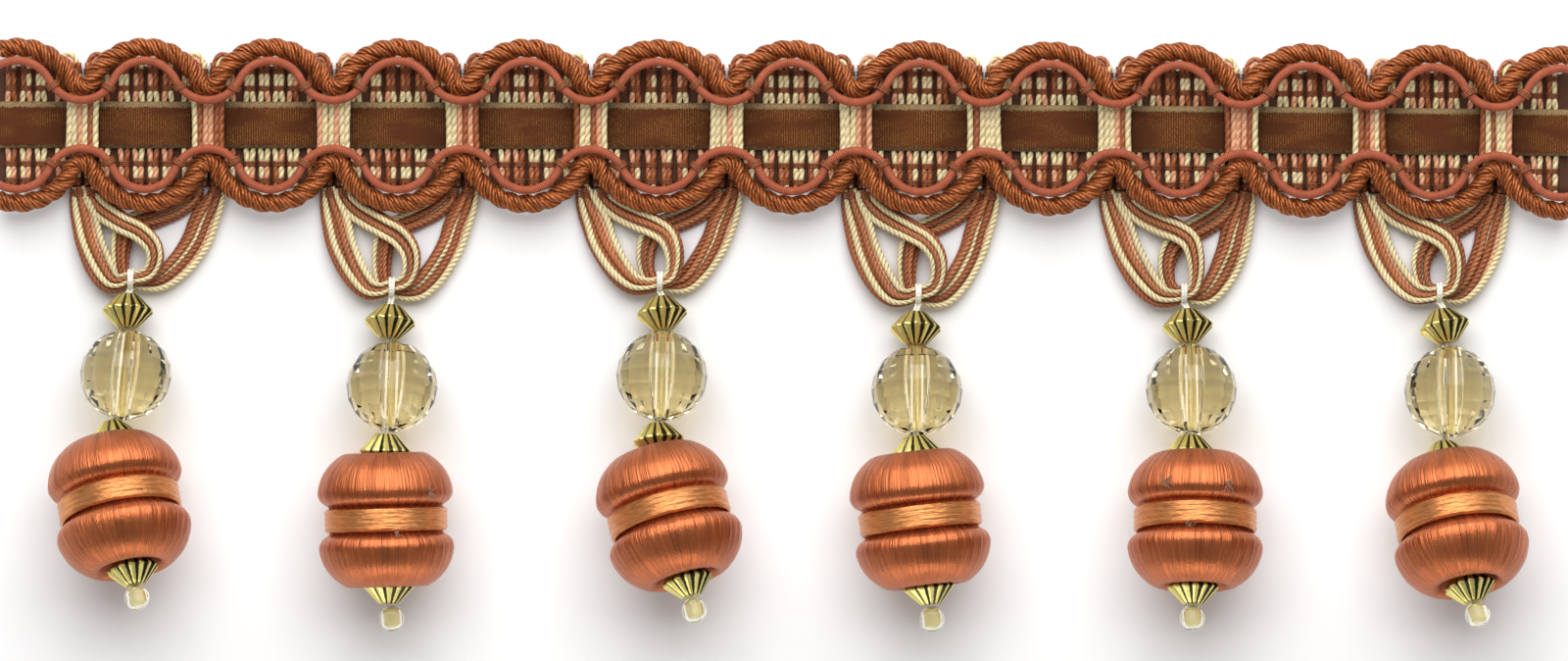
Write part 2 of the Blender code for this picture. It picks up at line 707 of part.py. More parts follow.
def bicone_mesh():
    """Fluted double cone: ridges and grooves alternate round its rim."""
    tips = BICONE_FLUTES // 2
    rim = 2 * BICONE_FLUTES
    verts = []
    for end in (-1.0, 1.0):
        for k in range(tips):
            angle = math.tau * (k + 0.5) / tips
            x = BICONE_TIP_RADIUS * math.cos(angle)
            y = BICONE_TIP_RADIUS * math.sin(angle)
            verts.append((x, y, end * BICONE_HALF_LENGTH))
    for k in range(rim):
        angle = math.tau * k / rim
        radius = BICONE_GROOVE_RADIUS if k % 2 == 0 else BICONE_RIDGE_RADIUS
        verts.append((radius * math.cos(angle), radius * math.sin(angle), 0.0))
    faces = []
    for end in (0, 1):
        for k in range(rim):
            tip = end * tips + k * tips // rim
            faces.append((2 * tips + k, 2 * tips + (k + 1) % rim, tip))
        for k in range(tips):
            nxt = (k + 1) % tips
            shared = 2 * tips + (nxt * rim // tips)
            faces.append((end * tips + k, end * tips + nxt, shared))
        faces.append(tuple(end * tips + k for k in range(tips)))
    return make_mesh("bicone", verts, faces, "gold", False)


def crystal_mesh():
    """Faceted ball: rings of flat facets and a straight bore from pole to pole."""
    bands = 5
    first = math.radians(17.0)
    verts = []
    for row in range(bands + 1):
        polar = first + (math.pi - 2.0 * first) * row / bands
        for k in range(CRYSTAL_SIDES):
            angle = math.tau * k / CRYSTAL_SIDES
            flat = CRYSTAL_RADIUS * math.sin(polar)
            height = CRYSTAL_RADIUS * math.cos(polar)
            verts.append((flat * math.cos(angle), flat * math.sin(angle), height))
    faces = rings_to_faces(bands + 1, CRYSTAL_SIDES)[:-2]
    bore = len(verts)
    for end in (1.0, -1.0):
        for k in range(CRYSTAL_BORE_SIDES):
            angle = math.tau * k / CRYSTAL_BORE_SIDES
            height = end * CRYSTAL_RADIUS * math.cos(first)
            x = CRYSTAL_BORE * math.cos(angle)
            verts.append((x, CRYSTAL_BORE * math.sin(angle), height))
    step = CRYSTAL_SIDES // CRYSTAL_BORE_SIDES
    for outer, inner in ((0, bore), (bands * CRYSTAL_SIDES, bore + CRYSTAL_BORE_SIDES)):
        for k in range(CRYSTAL_BORE_SIDES):
            nxt = (k + 1) % CRYSTAL_BORE_SIDES
            rim = [outer + (k * step + j) % CRYSTAL_SIDES for j in range(step + 1)]
            faces.append((inner + k, rim[0], rim[1]))
            faces.append((inner + k, rim[1], inner + nxt))
            faces.append((inner + nxt, rim[1], rim[2]))
    far = bore + CRYSTAL_BORE_SIDES
    for k in range(CRYSTAL_BORE_SIDES):
        nxt = (k + 1) % CRYSTAL_BORE_SIDES
        faces.append((bore + k, bore + nxt, far + nxt, far + k))
    return make_mesh("crystal", verts, faces, "crystal", False)


def spool_mesh():
    lower = [SpoolRing(ring.radius, -ring.along) for ring in reversed(SPOOL_RINGS)]
    return lathe("spool", tuple(lower) + SPOOL_RINGS, SPOOL_SIDES, "floss", True)


def band_mesh():
    """Ring of floss round the waist of a spool."""
    outline = (
        SpoolRing(BAND_INNER, -BAND_HALF_HEIGHT),
        SpoolRing(BAND_INNER, BAND_HALF_HEIGHT),
        SpoolRing(BAND_OUTER, BAND_HALF_HEIGHT - BAND_CHAMFER),
        SpoolRing(BAND_OUTER, BAND_CHAMFER - BAND_HALF_HEIGHT),
    )
    verts = []
    faces = []
    for k in range(SPOOL_SIDES):
        angle = math.tau * k / SPOOL_SIDES
        for ring in outline:
            x = ring.radius * math.cos(angle)
            verts.append((x, ring.radius * math.sin(angle), ring.along))
        here = 4 * k
        there = 4 * ((k + 1) % SPOOL_SIDES)
        for j in range(4):
            nxt = (j + 1) % 4
            faces.append((here + j, here + nxt, there + nxt, there + j))
    return make_mesh("waist_band", verts, faces, "band", True)


def heading_of(turn, tilt):
    """Direction of a drop from its top to its low end."""
    flat = math.cos(math.radians(tilt))
    sweep = math.radians(turn)
    return Vector((math.sin(sweep) * flat, -math.cos(sweep) * flat, math.sin(math.radians(tilt))))


def place(name, mesh, seat, height, axis):
    """Set a bead at its place with its hole along an axis."""
    item = add_object(name, mesh)
    item.location = (seat.x, seat.y, height)
    item.rotation_mode = "QUATERNION"
    item.rotation_quaternion = axis.to_track_quat("Z", "Y")


def spool_height(tilt):
    """Height of a tilted spool's middle when its upper bulge rests on the surface."""
    lean = math.radians(tilt)
    reaches = []
    for ring in SPOOL_RINGS:
        reaches.append(ring.radius * math.cos(lean) + ring.along * math.sin(lean))
    return max(reaches)


def build_beads():
    bicone = bicone_mesh()
    crystal = crystal_mesh()
    spool = spool_mesh()
    band = band_mesh()
    end_bead = lathe("end_bead", END_RINGS, END_BEAD_SIDES, "pale", True)
    for number, string in enumerate(STRINGS, start=1):
        tilt = SPOOL_TILTS[number - 1].degrees
        lean = math.radians(tilt)
        middle = spool_height(tilt)
        reach_up = math.hypot(string.mid.x - string.spool.x, string.mid.y - string.spool.y)
        reach_low = math.hypot(string.low.x - string.spool.x, string.low.y - string.spool.y)
        reach_end = math.hypot(string.end.x - string.spool.x, string.end.y - string.spool.y)
        mid_height = middle - reach_up * math.tan(lean)
        low_height = middle + reach_low * math.tan(lean)
        end_height = middle + reach_end * math.tan(lean)
        top = Vector((string.top.x, string.top.y, TOP_BICONE_HEIGHT))
        mid = Vector((string.mid.x, string.mid.y, mid_height))
        spool_axis = heading_of(string.spool.turn, tilt)
        top_axis = heading_of(string.top.turn, TOP_BICONE_TILT)
        place(f"bicone_top_{number}", bicone, string.top, TOP_BICONE_HEIGHT, top_axis)
        place(f"crystal_{number}", crystal, string.crystal, CRYSTAL_RADIUS, mid - top)
        mid_axis = heading_of(string.mid.turn, tilt)
        place(f"bicone_mid_{number}", bicone, string.mid, mid_height, mid_axis)
        place(f"spool_{number}", spool, string.spool, middle, spool_axis)
        place(f"waist_band_{number}", band, string.spool, middle, spool_axis)
        low_axis = heading_of(string.low.turn, tilt)
        place(f"bicone_low_{number}", bicone, string.low, low_height, low_axis)
        end_axis = heading_of(string.end.turn, tilt)
        place(f"end_bead_{number}", end_bead, string.end, end_height, end_axis)


def main():
    clear_scene()
    build_web()
    build_ribbon()
    build_rope("rope_upper", 1.0, UPPER_CREST, UPPER_VALLEY)
    build_rope("rope_lower", -1.0, LOWER_CREST, LOWER_VALLEY)
    build_gimp("gimp_upper", 1.0, UPPER_CREST, UPPER_VALLEY)
    build_gimp("gimp_lower", -1.0, LOWER_CREST, LOWER_VALLEY)
    for number, drop in enumerate(DROPS, start=1):
        build_loops(number, drop)
        build_tie(number, drop)
    build_beads()


main()
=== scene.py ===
"""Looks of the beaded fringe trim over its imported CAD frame.

Metres, +Z up; X runs along the trim and the back of the heading lies on z = 0.
"""

import logging
import math
from dataclasses import dataclass, field
from enum import Enum
from typing import Callable, Iterable, Sequence

import bmesh
import bpy
import numpy as np
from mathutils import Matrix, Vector


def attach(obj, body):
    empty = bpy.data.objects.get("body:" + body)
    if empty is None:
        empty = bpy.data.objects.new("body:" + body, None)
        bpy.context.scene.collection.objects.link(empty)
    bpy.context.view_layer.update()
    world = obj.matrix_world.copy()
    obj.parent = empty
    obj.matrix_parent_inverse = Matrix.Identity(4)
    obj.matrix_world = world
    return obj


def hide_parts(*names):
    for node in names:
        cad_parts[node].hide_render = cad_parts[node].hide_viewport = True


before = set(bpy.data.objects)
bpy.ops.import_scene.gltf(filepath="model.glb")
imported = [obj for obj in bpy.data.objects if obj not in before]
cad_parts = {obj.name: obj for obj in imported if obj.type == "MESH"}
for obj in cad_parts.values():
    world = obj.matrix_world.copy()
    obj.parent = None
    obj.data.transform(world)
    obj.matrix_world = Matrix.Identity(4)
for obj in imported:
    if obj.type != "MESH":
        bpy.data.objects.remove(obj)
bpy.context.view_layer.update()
LOG = logging.getLogger("trim")
MM = 0.001
TAU = math.tau
Colour = tuple[float, float, float]


class Way(Enum):
    """The two long sides of the heading."""

    UPPER = 1.0
    LOWER = -1.0


class Yarn(Enum):
    """Yarn colours of the heading and the cords, as linear red, green and blue."""

    CREAM = (0.84, 0.70, 0.39)
    PEACH = (0.78, 0.38, 0.21)
    RUST = (0.34, 0.092, 0.026)
    COPPER = (0.46, 0.15, 0.050)


# Tables


@dataclass(frozen=True)
class Scallops:
    """Valleys along the heading and the slow bow of its centre line."""

    valleys: tuple[float, ...] = (
        -164.1, -138.7, -113.8, -89.0, -63.6, -38.2, -11.3,
        14.2, 39.6, 65.4, 90.4, 115.7, 140.7, 166.1,
    )
    half_length: float = 155.3 * MM
    bow_left: float = 0.5 * MM
    bow_right: float = -1.1 * MM

    def x(self) -> np.ndarray:
        """Valley positions.

        Returns:
            Valley x in metres, left to right.
        """
        return np.array(self.valleys) * MM

    def drift(self, x: np.ndarray) -> np.ndarray:
        """Fall of the centre line towards the right end, as a square law.

        Args:
            x: Places along the trim in metres.

        Returns:
            Offsets across the trim in metres.
        """
        share = (np.asarray(x) + self.half_length) / (2.0 * self.half_length)
        return self.bow_left + (self.bow_right - self.bow_left) * share * share

    def window_share(self, x: np.ndarray) -> np.ndarray:
        """Share of the way from one valley to the next.

        Args:
            x: Places along the trim in metres.

        Returns:
            0 at a valley and rising to 1 at the next.
        """
        edges = self.x()
        index = np.clip(np.searchsorted(edges, x) - 1, 0, len(edges) - 2)
        return (x - edges[index]) / (edges[index + 1] - edges[index])


@dataclass(frozen=True)
class HankRow:
    """One station of a hank's centre line."""

    along: float
    reach: float
    down: float
    spread: float
    front: float
    back: float


HANK_ROWS = (
    HankRow(-0.12, 0.0, 0.03, 2.6, 1.5, 1.5),
    HankRow(-0.06, 0.0, 0.18, 3.9, 1.5, 1.3),
    HankRow(0.06, 0.0, 0.38, 5.3, 1.8, 1.2),
    HankRow(0.17, 0.0, 0.59, 5.3, 2.4, 1.2),
    HankRow(0.37, 0.0, 0.82, 4.9, 3.1, 1.3),
    HankRow(0.60, 0.0, 0.98, 4.0, 3.8, 1.7),
    HankRow(0.83, 0.0, 1.01, 2.8, 4.25, 2.3),
    HankRow(1.00, 0.0, 0.98, 2.2, 4.3, 2.6),
    HankRow(1.00, 0.72, 0.93, 2.5, 4.3, 2.5),
    HankRow(1.00, 1.0, 0.79, 3.0, 4.3, 2.3),
    HankRow(1.00, 0.92, 0.63, 3.5, 4.3, 2.1),
    HankRow(1.00, 0.45, 0.49, 3.9, 4.2, 1.9),
    HankRow(0.90, 0.0, 0.40, 4.0, 3.7, 1.6),
    HankRow(0.63, 0.0, 0.32, 4.2, 2.3, 1.3),
    HankRow(0.39, 0.0, 0.235, 4.1, 1.5, 1.3),
    HankRow(0.21, 0.0, 0.13, 3.5, 1.4, 1.3),
    HankRow(0.14, 0.0, 0.03, 2.6, 1.5, 1.5),
)


@dataclass(frozen=True)
class Seat:
    """A bead's place in plan, in millimetres, and its turn in plan, in degrees."""

    x: float
    y: float
    turn: float


@dataclass(frozen=True)
class Drop:
    """One bead drop: its two valleys, its tie, its curls, its tilt and its beads."""

    left: int
    right: int
    tie_x: float
    tie_y: float
    front_curl: float
    back_curl: float
    tilt: float
    top: Seat
    crystal: Seat
    mid: Seat
    spool: Seat
    low: Seat
    end: Seat

    def tie_place(self) -> float:
        """Where the thread binds both hanks along x.

        Returns:
            The place in millimetres.
        """
        return self.tie_x + 0.2 * (self.front_curl - self.back_curl)


@dataclass(frozen=True)
class Tuft:
    """A tuft of broken floss: its drop, its place along the spool and its turn from the top."""

    drop: int
    along: float
    turn: float


TUFTS = (Tuft(2, 3.1, -12.0), Tuft(2, -5.2, -44.0), Tuft(5, -5.6, 27.0), Tuft(5, -5.2, -28.0),
         Tuft(5, 2.9, 8.0))
DROPS = (
    Drop(1, 2, -129.9, -31.0, 5.6, 1.5, 17.0, Seat(-129.6, -36.4, -1.0), Seat(-129.8, -48.9, 0.0),
         Seat(-132.0, -61.35, 8.0), Seat(-130.7, -74.5, 11.2), Seat(-127.9, -87.0, 11.2),
         Seat(-126.9, -92.6, 11.2)),
    Drop(3, 4, -78.1, -32.6, 4.6, 1.5, 1.0, Seat(-77.8, -38.6, -4.0), Seat(-77.3, -51.2, 0.0),
         Seat(-78.5, -63.8, -1.0), Seat(-78.3, -77.4, 1.6), Seat(-77.8, -90.5, 0.0),
         Seat(-77.2, -96.8, 6.0)),
    Drop(5, 6, -24.6, -31.4, 2.9, 2.6, 14.0, Seat(-24.1, -36.9, 5.0), Seat(-24.1, -49.1, 3.0),
         Seat(-24.7, -61.8, 6.0), Seat(-22.6, -76.6, 15.0), Seat(-19.0, -89.2, 15.4),
         Seat(-17.6, -95.1, 12.0)),
    Drop(7, 8, 26.0, -33.9, 4.6, 1.8, 4.0, Seat(26.0, -39.9, 0.0), Seat(26.2, -52.0, 0.0),
         Seat(26.0, -64.22, 6.0), Seat(26.8, -77.3, 6.6), Seat(28.5, -90.7, 7.5),
         Seat(29.1, -96.9, 4.0)),
    Drop(9, 10, 79.4, -33.8, 2.0, 3.8, 10.0, Seat(79.7, -39.4, 4.0), Seat(80.3, -51.8, 0.0),
         Seat(80.0, -64.2, 0.0), Seat(80.9, -77.5, -0.7), Seat(80.4, -90.6, 0.0),
         Seat(80.2, -96.6, 0.0)),
    Drop(11, 12, 129.6, -33.6, 3.1, 3.7, 20.0, Seat(130.4, -39.4, 13.0), Seat(131.3, -52.2, 8.0),
         Seat(130.3, -65.4, 9.0), Seat(132.4, -78.0, 8.8), Seat(134.6, -90.4, 12.0),
         Seat(136.0, -95.9, 14.0)),
)
SCALLOPS = Scallops()


# Meshes


@dataclass
class MeshBag:
    """Parametric grids joined as one mesh, with a UV map in millimetres and a tint."""

    points: list[np.ndarray] = field(default_factory=list)
    quads: list[np.ndarray] = field(default_factory=list)
    tris: list[np.ndarray] = field(default_factory=list)
    uvs: list[np.ndarray] = field(default_factory=list)
    tints: list[np.ndarray] = field(default_factory=list)
    count: int = 0

    def add_grid(self, grid: np.ndarray, uv: np.ndarray, tint: np.ndarray, caps: bool = True) -> None:
        """Adds rows of points that close on themselves, such as a tube.

        Args:
            grid: Points as rows, columns, 3; the last column joins the first.
            uv: Texture place of each point as rows, columns + 1, 2.
            tint: One colour, or a colour per point.
            caps: Whether both ends are closed with a fan.
        """
        rows, cols, _ = grid.shape
        start = self.count
        index = start + np.arange(rows * cols).reshape(rows, cols)
        right = np.roll(index, -1, axis=1)
        quads = np.stack([index[:-1], right[:-1], right[1:], index[1:]], axis=-1).reshape(-1, 4)
        corner = np.stack([uv[:-1, :-1], uv[:-1, 1:], uv[1:, 1:], uv[1:, :-1]], axis=2)
        self.points.append(grid.reshape(-1, 3))
        self.quads.append(quads)
        self.uvs.append(corner.reshape(-1, 2))
        spread = np.broadcast_to(np.asarray(tint, dtype=float), (rows, cols, 3)).reshape(-1, 3)
        self.tints.append(spread)
        self.count += rows * cols
        if caps:
            ends = np.stack([grid[0].mean(axis=0), grid[-1].mean(axis=0)])
            near = np.stack([right[0], index[0], np.full(cols, self.count)], axis=-1)
            far = np.stack([index[-1], right[-1], np.full(cols, self.count + 1)], axis=-1)
            self.points.append(ends)
            self.tints.append(np.stack([spread[0], spread[-1]]))
            self.tris.append(np.concatenate([near, far]))
            self.count += 2

    def build(self, name: str, finish: "Finish", smooth: bool = True) -> bpy.types.Object:
        """Makes the joined object.

        Args:
            name: Object name.
            finish: What it is made of.
            smooth: Whether it is shaded smooth.

        Returns:
            The object, at the origin.
        """
        points = np.concatenate(self.points)
        quads = np.concatenate(self.quads)
        tris = np.concatenate(self.tris) if self.tris else np.zeros((0, 3), dtype=int)
        loops = np.concatenate([quads.ravel(), tris.ravel()]).astype(np.int32)
        starts = np.concatenate([
            np.arange(len(quads)) * 4, len(quads) * 4 + np.arange(len(tris)) * 3
        ]).astype(np.int32)
        mesh = bpy.data.meshes.new(name)
        mesh.vertices.add(len(points))
        mesh.vertices.foreach_set("co", points.astype(np.float32).ravel())
        mesh.loops.add(len(loops))
        mesh.loops.foreach_set("vertex_index", loops)
        mesh.polygons.add(len(starts))
        mesh.polygons.foreach_set("loop_start", starts)
        mesh.polygons.foreach_set("use_smooth", np.full(len(starts), smooth))
        mesh.update(calc_edges=True)
        layer = mesh.uv_layers.new(name="UVMap")
        flat = np.zeros((len(loops), 2), dtype=np.float32)
        flat[: len(quads) * 4] = np.concatenate(self.uvs)
        layer.data.foreach_set("uv", flat.ravel())
        tint = mesh.color_attributes.new("tint", "FLOAT_COLOR", "POINT")
        colours = np.ones((len(points), 4), dtype=np.float32)
        colours[:, :3] = np.concatenate(self.tints)
        tint.data.foreach_set("color", colours.ravel())
        mesh.materials.append(finish.material())
        item = bpy.data.objects.new(name, mesh)
        bpy.context.scene.collection.objects.link(item)
        return item


def unit(rows: np.ndarray) -> np.ndarray:
    """Scales rows of vectors to length one.

    Args:
        rows: Vectors along the last axis.

    Returns:
        The unit vectors.
    """
    return rows / np.maximum(np.linalg.norm(rows, axis=-1, keepdims=True), 1e-12)


def run_of(path: np.ndarray) -> np.ndarray:
    """Length along a path.

    Args:
        path: Points in order.

    Returns:
        Length from the first point to each point.
    """
    return np.concatenate([[0.0], np.cumsum(np.linalg.norm(np.diff(path, axis=0), axis=1))])


def even(path: np.ndarray, step: float) -> np.ndarray:
    """Reads a path again at an even step.

    Args:
        path: Points in order, with any further columns.
        step: Distance between new points in metres.

    Returns:
        The new rows.
    """
    run = run_of(path[:, :3])
    count = max(4, int(math.ceil(run[-1] / step)))
    target = np.linspace(0.0, run[-1], count + 1)
    return np.stack([np.interp(target, run, path[:, k]) for k in range(path.shape[1])], axis=1)


def frames(path: np.ndarray, ref: Sequence[float]) -> tuple[np.ndarray, np.ndarray, np.ndarray]:
    """Direction, side and up of a path, with up as near as can be to a given vector.

    Args:
        path: Points in order.
        ref: The vector that up follows.

    Returns:
        Three arrays of unit vectors: along, side, up.
    """
    along = unit(np.gradient(path, axis=0))
    ref_rows = np.broadcast_to(np.asarray(ref, dtype=float), along.shape)
    up = unit(ref_rows - along * np.sum(along * ref_rows, axis=1, keepdims=True))
    return along, np.cross(up, along), up


@dataclass(frozen=True)
class Cord:
    """A round cord: plies twist round its axis as lobes of its section."""

    radius: float
    plies: int = 3
    lay: float = 4.0 * MM
    depth: float = 0.16
    sides: int = 10

    def along(
        self,
        bag: MeshBag,
        path: np.ndarray,
        tint: np.ndarray,
        ref: Sequence[float] = (0.0, 0.0, 1.0),
        swell: np.ndarray | None = None,
        phase: float = 0.0,
    ) -> None:
        """Adds the cord along a path.

        Radius = radius * swell * (1 - depth + depth * |cos(plies / 2 * (angle - turn))|).

        Args:
            bag: Receives the surface.
            path: Centre line.
            tint: One colour, or a colour per path point.
            ref: The vector that the section's up follows.
            swell: Radius factor at each path point.
            phase: Start of the twist in radians.
        """
        run = run_of(path)
        _, side, up = frames(path, ref)
        angle = np.linspace(0.0, TAU, self.sides + 1)
        turn = phase + TAU * run[:, None] / self.lay
        lobes = np.abs(np.cos(self.plies / 2.0 * (angle[None, :-1] - turn)))
        size = self.radius * (1.0 - self.depth + self.depth * lobes)
        if swell is not None:
            size = size * swell[:, None]
        across = (size * np.cos(angle[:-1]))[..., None] * side[:, None]
        lift = (size * np.sin(angle[:-1]))[..., None] * up[:, None]
        uv = np.stack(np.broadcast_arrays(angle[None, :] / TAU, run[:, None] / MM), axis=-1)
        colour = np.asarray(tint, dtype=float)
        colour = colour[:, None, :] if colour.ndim == 2 else colour
        bag.add_grid(path[:, None] + across + lift, uv, colour)


def placed(local: np.ndarray, place: np.ndarray) -> np.ndarray:
    """Carries points into place.

    Args:
        local: Points along the last axis.
        place: 4 by 4 placing matrix.

    Returns:
        The points in the world.
    """
    return local @ place[:3, :3].T + place[:3, 3]


def spun(ring: np.ndarray, angle: np.ndarray, place: np.ndarray, factor: np.ndarray) -> np.ndarray:
    """Turns a section round the local Z axis: (r cos a, r sin a, s), then sets it in place.

    Args:
        ring: Radius and height rows.
        angle: Angles in radians.
        place: 4 by 4 placing matrix.
        factor: Radius factor, which spreads over rows and angles.

    Returns:
        Points as rows, angles, 3.
    """
    radius = ring[:, :1] * factor
    height = ring[:, 1:] * np.ones(len(angle))
    return placed(np.stack([radius * np.cos(angle), radius * np.sin(angle), height], axis=-1), place)


def turned(
    bag: MeshBag,
    profile: np.ndarray,
    sides: int,
    place: np.ndarray,
    tint: Colour = (1.0, 1.0, 1.0),
    shape: Callable[[np.ndarray, np.ndarray], np.ndarray] | None = None,
) -> None:
    """Adds a closed turned surface.

    Point = (r cos a, r sin a, s) with r and s from the profile, then set in place.

    Args:
        bag: Receives the surface.
        profile: Radius and height rows, from one pole to the other.
        sides: Points round the axis.
        place: 4 by 4 placing matrix.
        tint: Colour of the whole surface.
        shape: Radius factor from the angle and the profile share, if it isn't round.
    """
    angle = np.linspace(0.0, TAU, sides + 1)
    share = np.linspace(0.0, 1.0, len(profile))
    factor = np.ones(sides) if shape is None else shape(angle[None, :-1], share[:, None])
    world = spun(profile, angle[:-1], place, factor)
    run = run_of(np.column_stack([profile, np.zeros(len(profile))])) / MM
    uv = np.stack(np.broadcast_arrays(angle[None, :] / TAU, run[:, None]), axis=-1)
    bag.add_grid(world[:, ::-1], uv[:, ::-1], np.asarray(tint))


def placing(centre: Sequence[float], axis: Vector) -> np.ndarray:
    """Matrix that carries the local Z axis to an axis through a centre.

    Args:
        centre: The place of the local origin.
        axis: The direction of the local Z axis.

    Returns:
        A 4 by 4 array.
    """
    made = np.eye(4)
    made[:3, :3] = np.array(axis.to_track_quat("Z", "Y").to_matrix())
    made[:3, 3] = centre
    return made


# Shaders


class Value:
    """A shader socket or a number, with the arithmetic of math nodes."""

    def __init__(self, tree: bpy.types.NodeTree, source: object) -> None:
        """Wraps a socket or a number.

        Args:
            tree: The tree that new nodes go in.
            source: The socket, or a number.
        """
        self.tree = tree
        self.source = source

    def node(self, kind: str, inputs: dict, output: int | str = 0, **settings: object) -> "Value":
        """Adds any node.

        Args:
            kind: Node type name.
            inputs: Input name or number to a Value, number or colour.
            output: Which output to wrap.
            **settings: Node properties.

        Returns:
            The wrapped output.
        """
        made = self.tree.nodes.new(kind)
        for key, setting in settings.items():
            setattr(made, key, setting)
        for key, given in inputs.items():
            source = given.source if isinstance(given, Value) else given
            if isinstance(source, bpy.types.NodeSocket):
                self.tree.links.new(source, made.inputs[key])
            else:
                made.inputs[key].default_value = source
        return Value(self.tree, made.outputs[output])

    def math(self, operation: str, *others: object) -> "Value":
        """Applies a math node.

        Args:
            operation: The node's operation.
            *others: Further operands.

        Returns:
            The result.
        """
        inputs = {k: v for k, v in enumerate((self, *others))}
        return self.node("ShaderNodeMath", inputs, operation=operation)

    def __add__(self, other: object) -> "Value":
        """Sum with another value.

        Args:
            other: A Value or a number.

        Returns:
            The result.
        """
        return self.math("ADD", other)

    def __sub__(self, other: object) -> "Value":
        """Difference with another value.

        Args:
            other: A Value or a number.

        Returns:
            The result.
        """
        return self.math("SUBTRACT", other)

    def __mul__(self, other: object) -> "Value":
        """Product with another value.

        Args:
            other: A Value or a number.

        Returns:
            The result.
        """
        return self.math("MULTIPLY", other)

    def ramp(self, low: float, high: float) -> "Value":
        """Smooth step from 0 at low to 1 at high.

        Args:
            low: Where it starts.
            high: Where it ends.

        Returns:
            The stepped value.
        """
        inputs = {"Value": self, "From Min": low, "From Max": high}
        return self.node("ShaderNodeMapRange", inputs, interpolation_type="SMOOTHSTEP")

    def wave(self) -> "Value":
        """Wave of this many turns, from 0 to 1.

        Returns:
            The wave.
        """
        return (self * TAU).math("SINE") * 0.5 + 0.5


@dataclass(frozen=True)
class Finish:
    """A procedural finish; each kind adds its own pattern to a Principled shader."""

    name: str
    colour: Colour
    roughness: float
    slot: str
    metallic: float = 0.0
    sheen: float = 0.0
    transmission: float = 0.0
    ior: float = 1.5
    specular: float = 0.5

    def pattern(self, at: Value, u: Value, v: Value) -> tuple[Value, Value, Value]:
        """Colour factor, roughness and height of the surface.

        Args:
            at: Object coordinates in millimetres.
            u: Share round the piece.
            v: Millimetres along the piece.

        Returns:
            Brightness factor, roughness and bump height.
        """
        grain = self.noise(at, 1.0, 1.0, 1.0, 3.0)
        return grain * 0.3 + 0.85, grain * 0.1 + self.roughness, grain * 0.02

    def base(self, at: Value, u: Value, v: Value, factor: Value) -> Value:
        """Surface colour, from the tint attribute and the brightness factor.

        Args:
            at: Object coordinates in millimetres.
            u: Share round the piece.
            v: Millimetres along the piece.
            factor: Brightness factor.

        Returns:
            The colour socket.
        """
        tint = at.node("ShaderNodeVertexColor", {}, "Color", layer_name="tint")
        return self.scaled(self.scaled(tint, (*self.colour, 1.0)), factor)

    @staticmethod
    def scaled(colour: Value, factor: object) -> Value:
        """Multiplies a colour.

        Args:
            colour: The colour.
            factor: A colour or a number.

        Returns:
            The product.
        """
        inputs = {0: colour, 1: factor}
        if isinstance(factor, tuple):
            inputs[1] = factor[:3]
        return colour.node("ShaderNodeVectorMath", inputs, operation="MULTIPLY")

    @staticmethod
    def mixed(factor: Value, low: object, high: object) -> Value:
        """Mixes two colours.

        Args:
            factor: 0 for low, 1 for high.
            low: A colour.
            high: A colour.

        Returns:
            The mix.
        """
        inputs = {0: factor, 6: low, 7: high}
        return factor.node("ShaderNodeMix", inputs, 2, data_type="RGBA")

    @staticmethod
    def noise(at: Value, x: float, y: float, z: float, detail: float) -> Value:
        """Noise stretched by a scale on each axis.

        Args:
            at: Coordinates.
            x: Scale on X.
            y: Scale on Y.
            z: Scale on Z.
            detail: Noise detail.

        Returns:
            Noise from 0 to 1.
        """
        place = at.node("ShaderNodeMapping", {"Vector": at, "Scale": (x, y, z)})
        return at.node("ShaderNodeTexNoise", {"Vector": place, "Scale": 1.0, "Detail": detail})

    def material(self) -> bpy.types.Material:
        """Builds the material once.

        Returns:
            The material.
        """
        known = bpy.data.materials.get(self.name)
        if known:
            return known
        made = bpy.data.materials.new(self.name)
        made.use_nodes = True
        tree = made.node_tree
        shader = tree.nodes["Principled BSDF"]
        coords = Value(tree, tree.nodes.new("ShaderNodeTexCoord").outputs["Object"])
        at = coords.node("ShaderNodeVectorMath", {0: coords, "Scale": 1000.0}, operation="SCALE")
        uv = coords.node("ShaderNodeUVMap", {}, "UV", uv_map="UVMap")
        u = uv.node("ShaderNodeSeparateXYZ", {0: uv}, "X")
        v = uv.node("ShaderNodeSeparateXYZ", {0: uv}, "Y")
        factor, rough, height = self.pattern(at, u, v)
        tree.links.new(self.base(at, u, v, factor).source, shader.inputs["Base Color"])
        tree.links.new(rough.source, shader.inputs["Roughness"])
        bump = height.node("ShaderNodeBump", {"Height": height, "Strength": 1.0, "Distance": MM})
        tree.links.new(bump.source, shader.inputs["Normal"])
        shader.inputs["Metallic"].default_value = self.metallic
        shader.inputs["Sheen Weight"].default_value = self.sheen
        shader.inputs["Transmission Weight"].default_value = self.transmission
        shader.inputs["IOR"].default_value = self.ior
        shader.inputs["Specular IOR Level"].default_value = self.specular
        return made


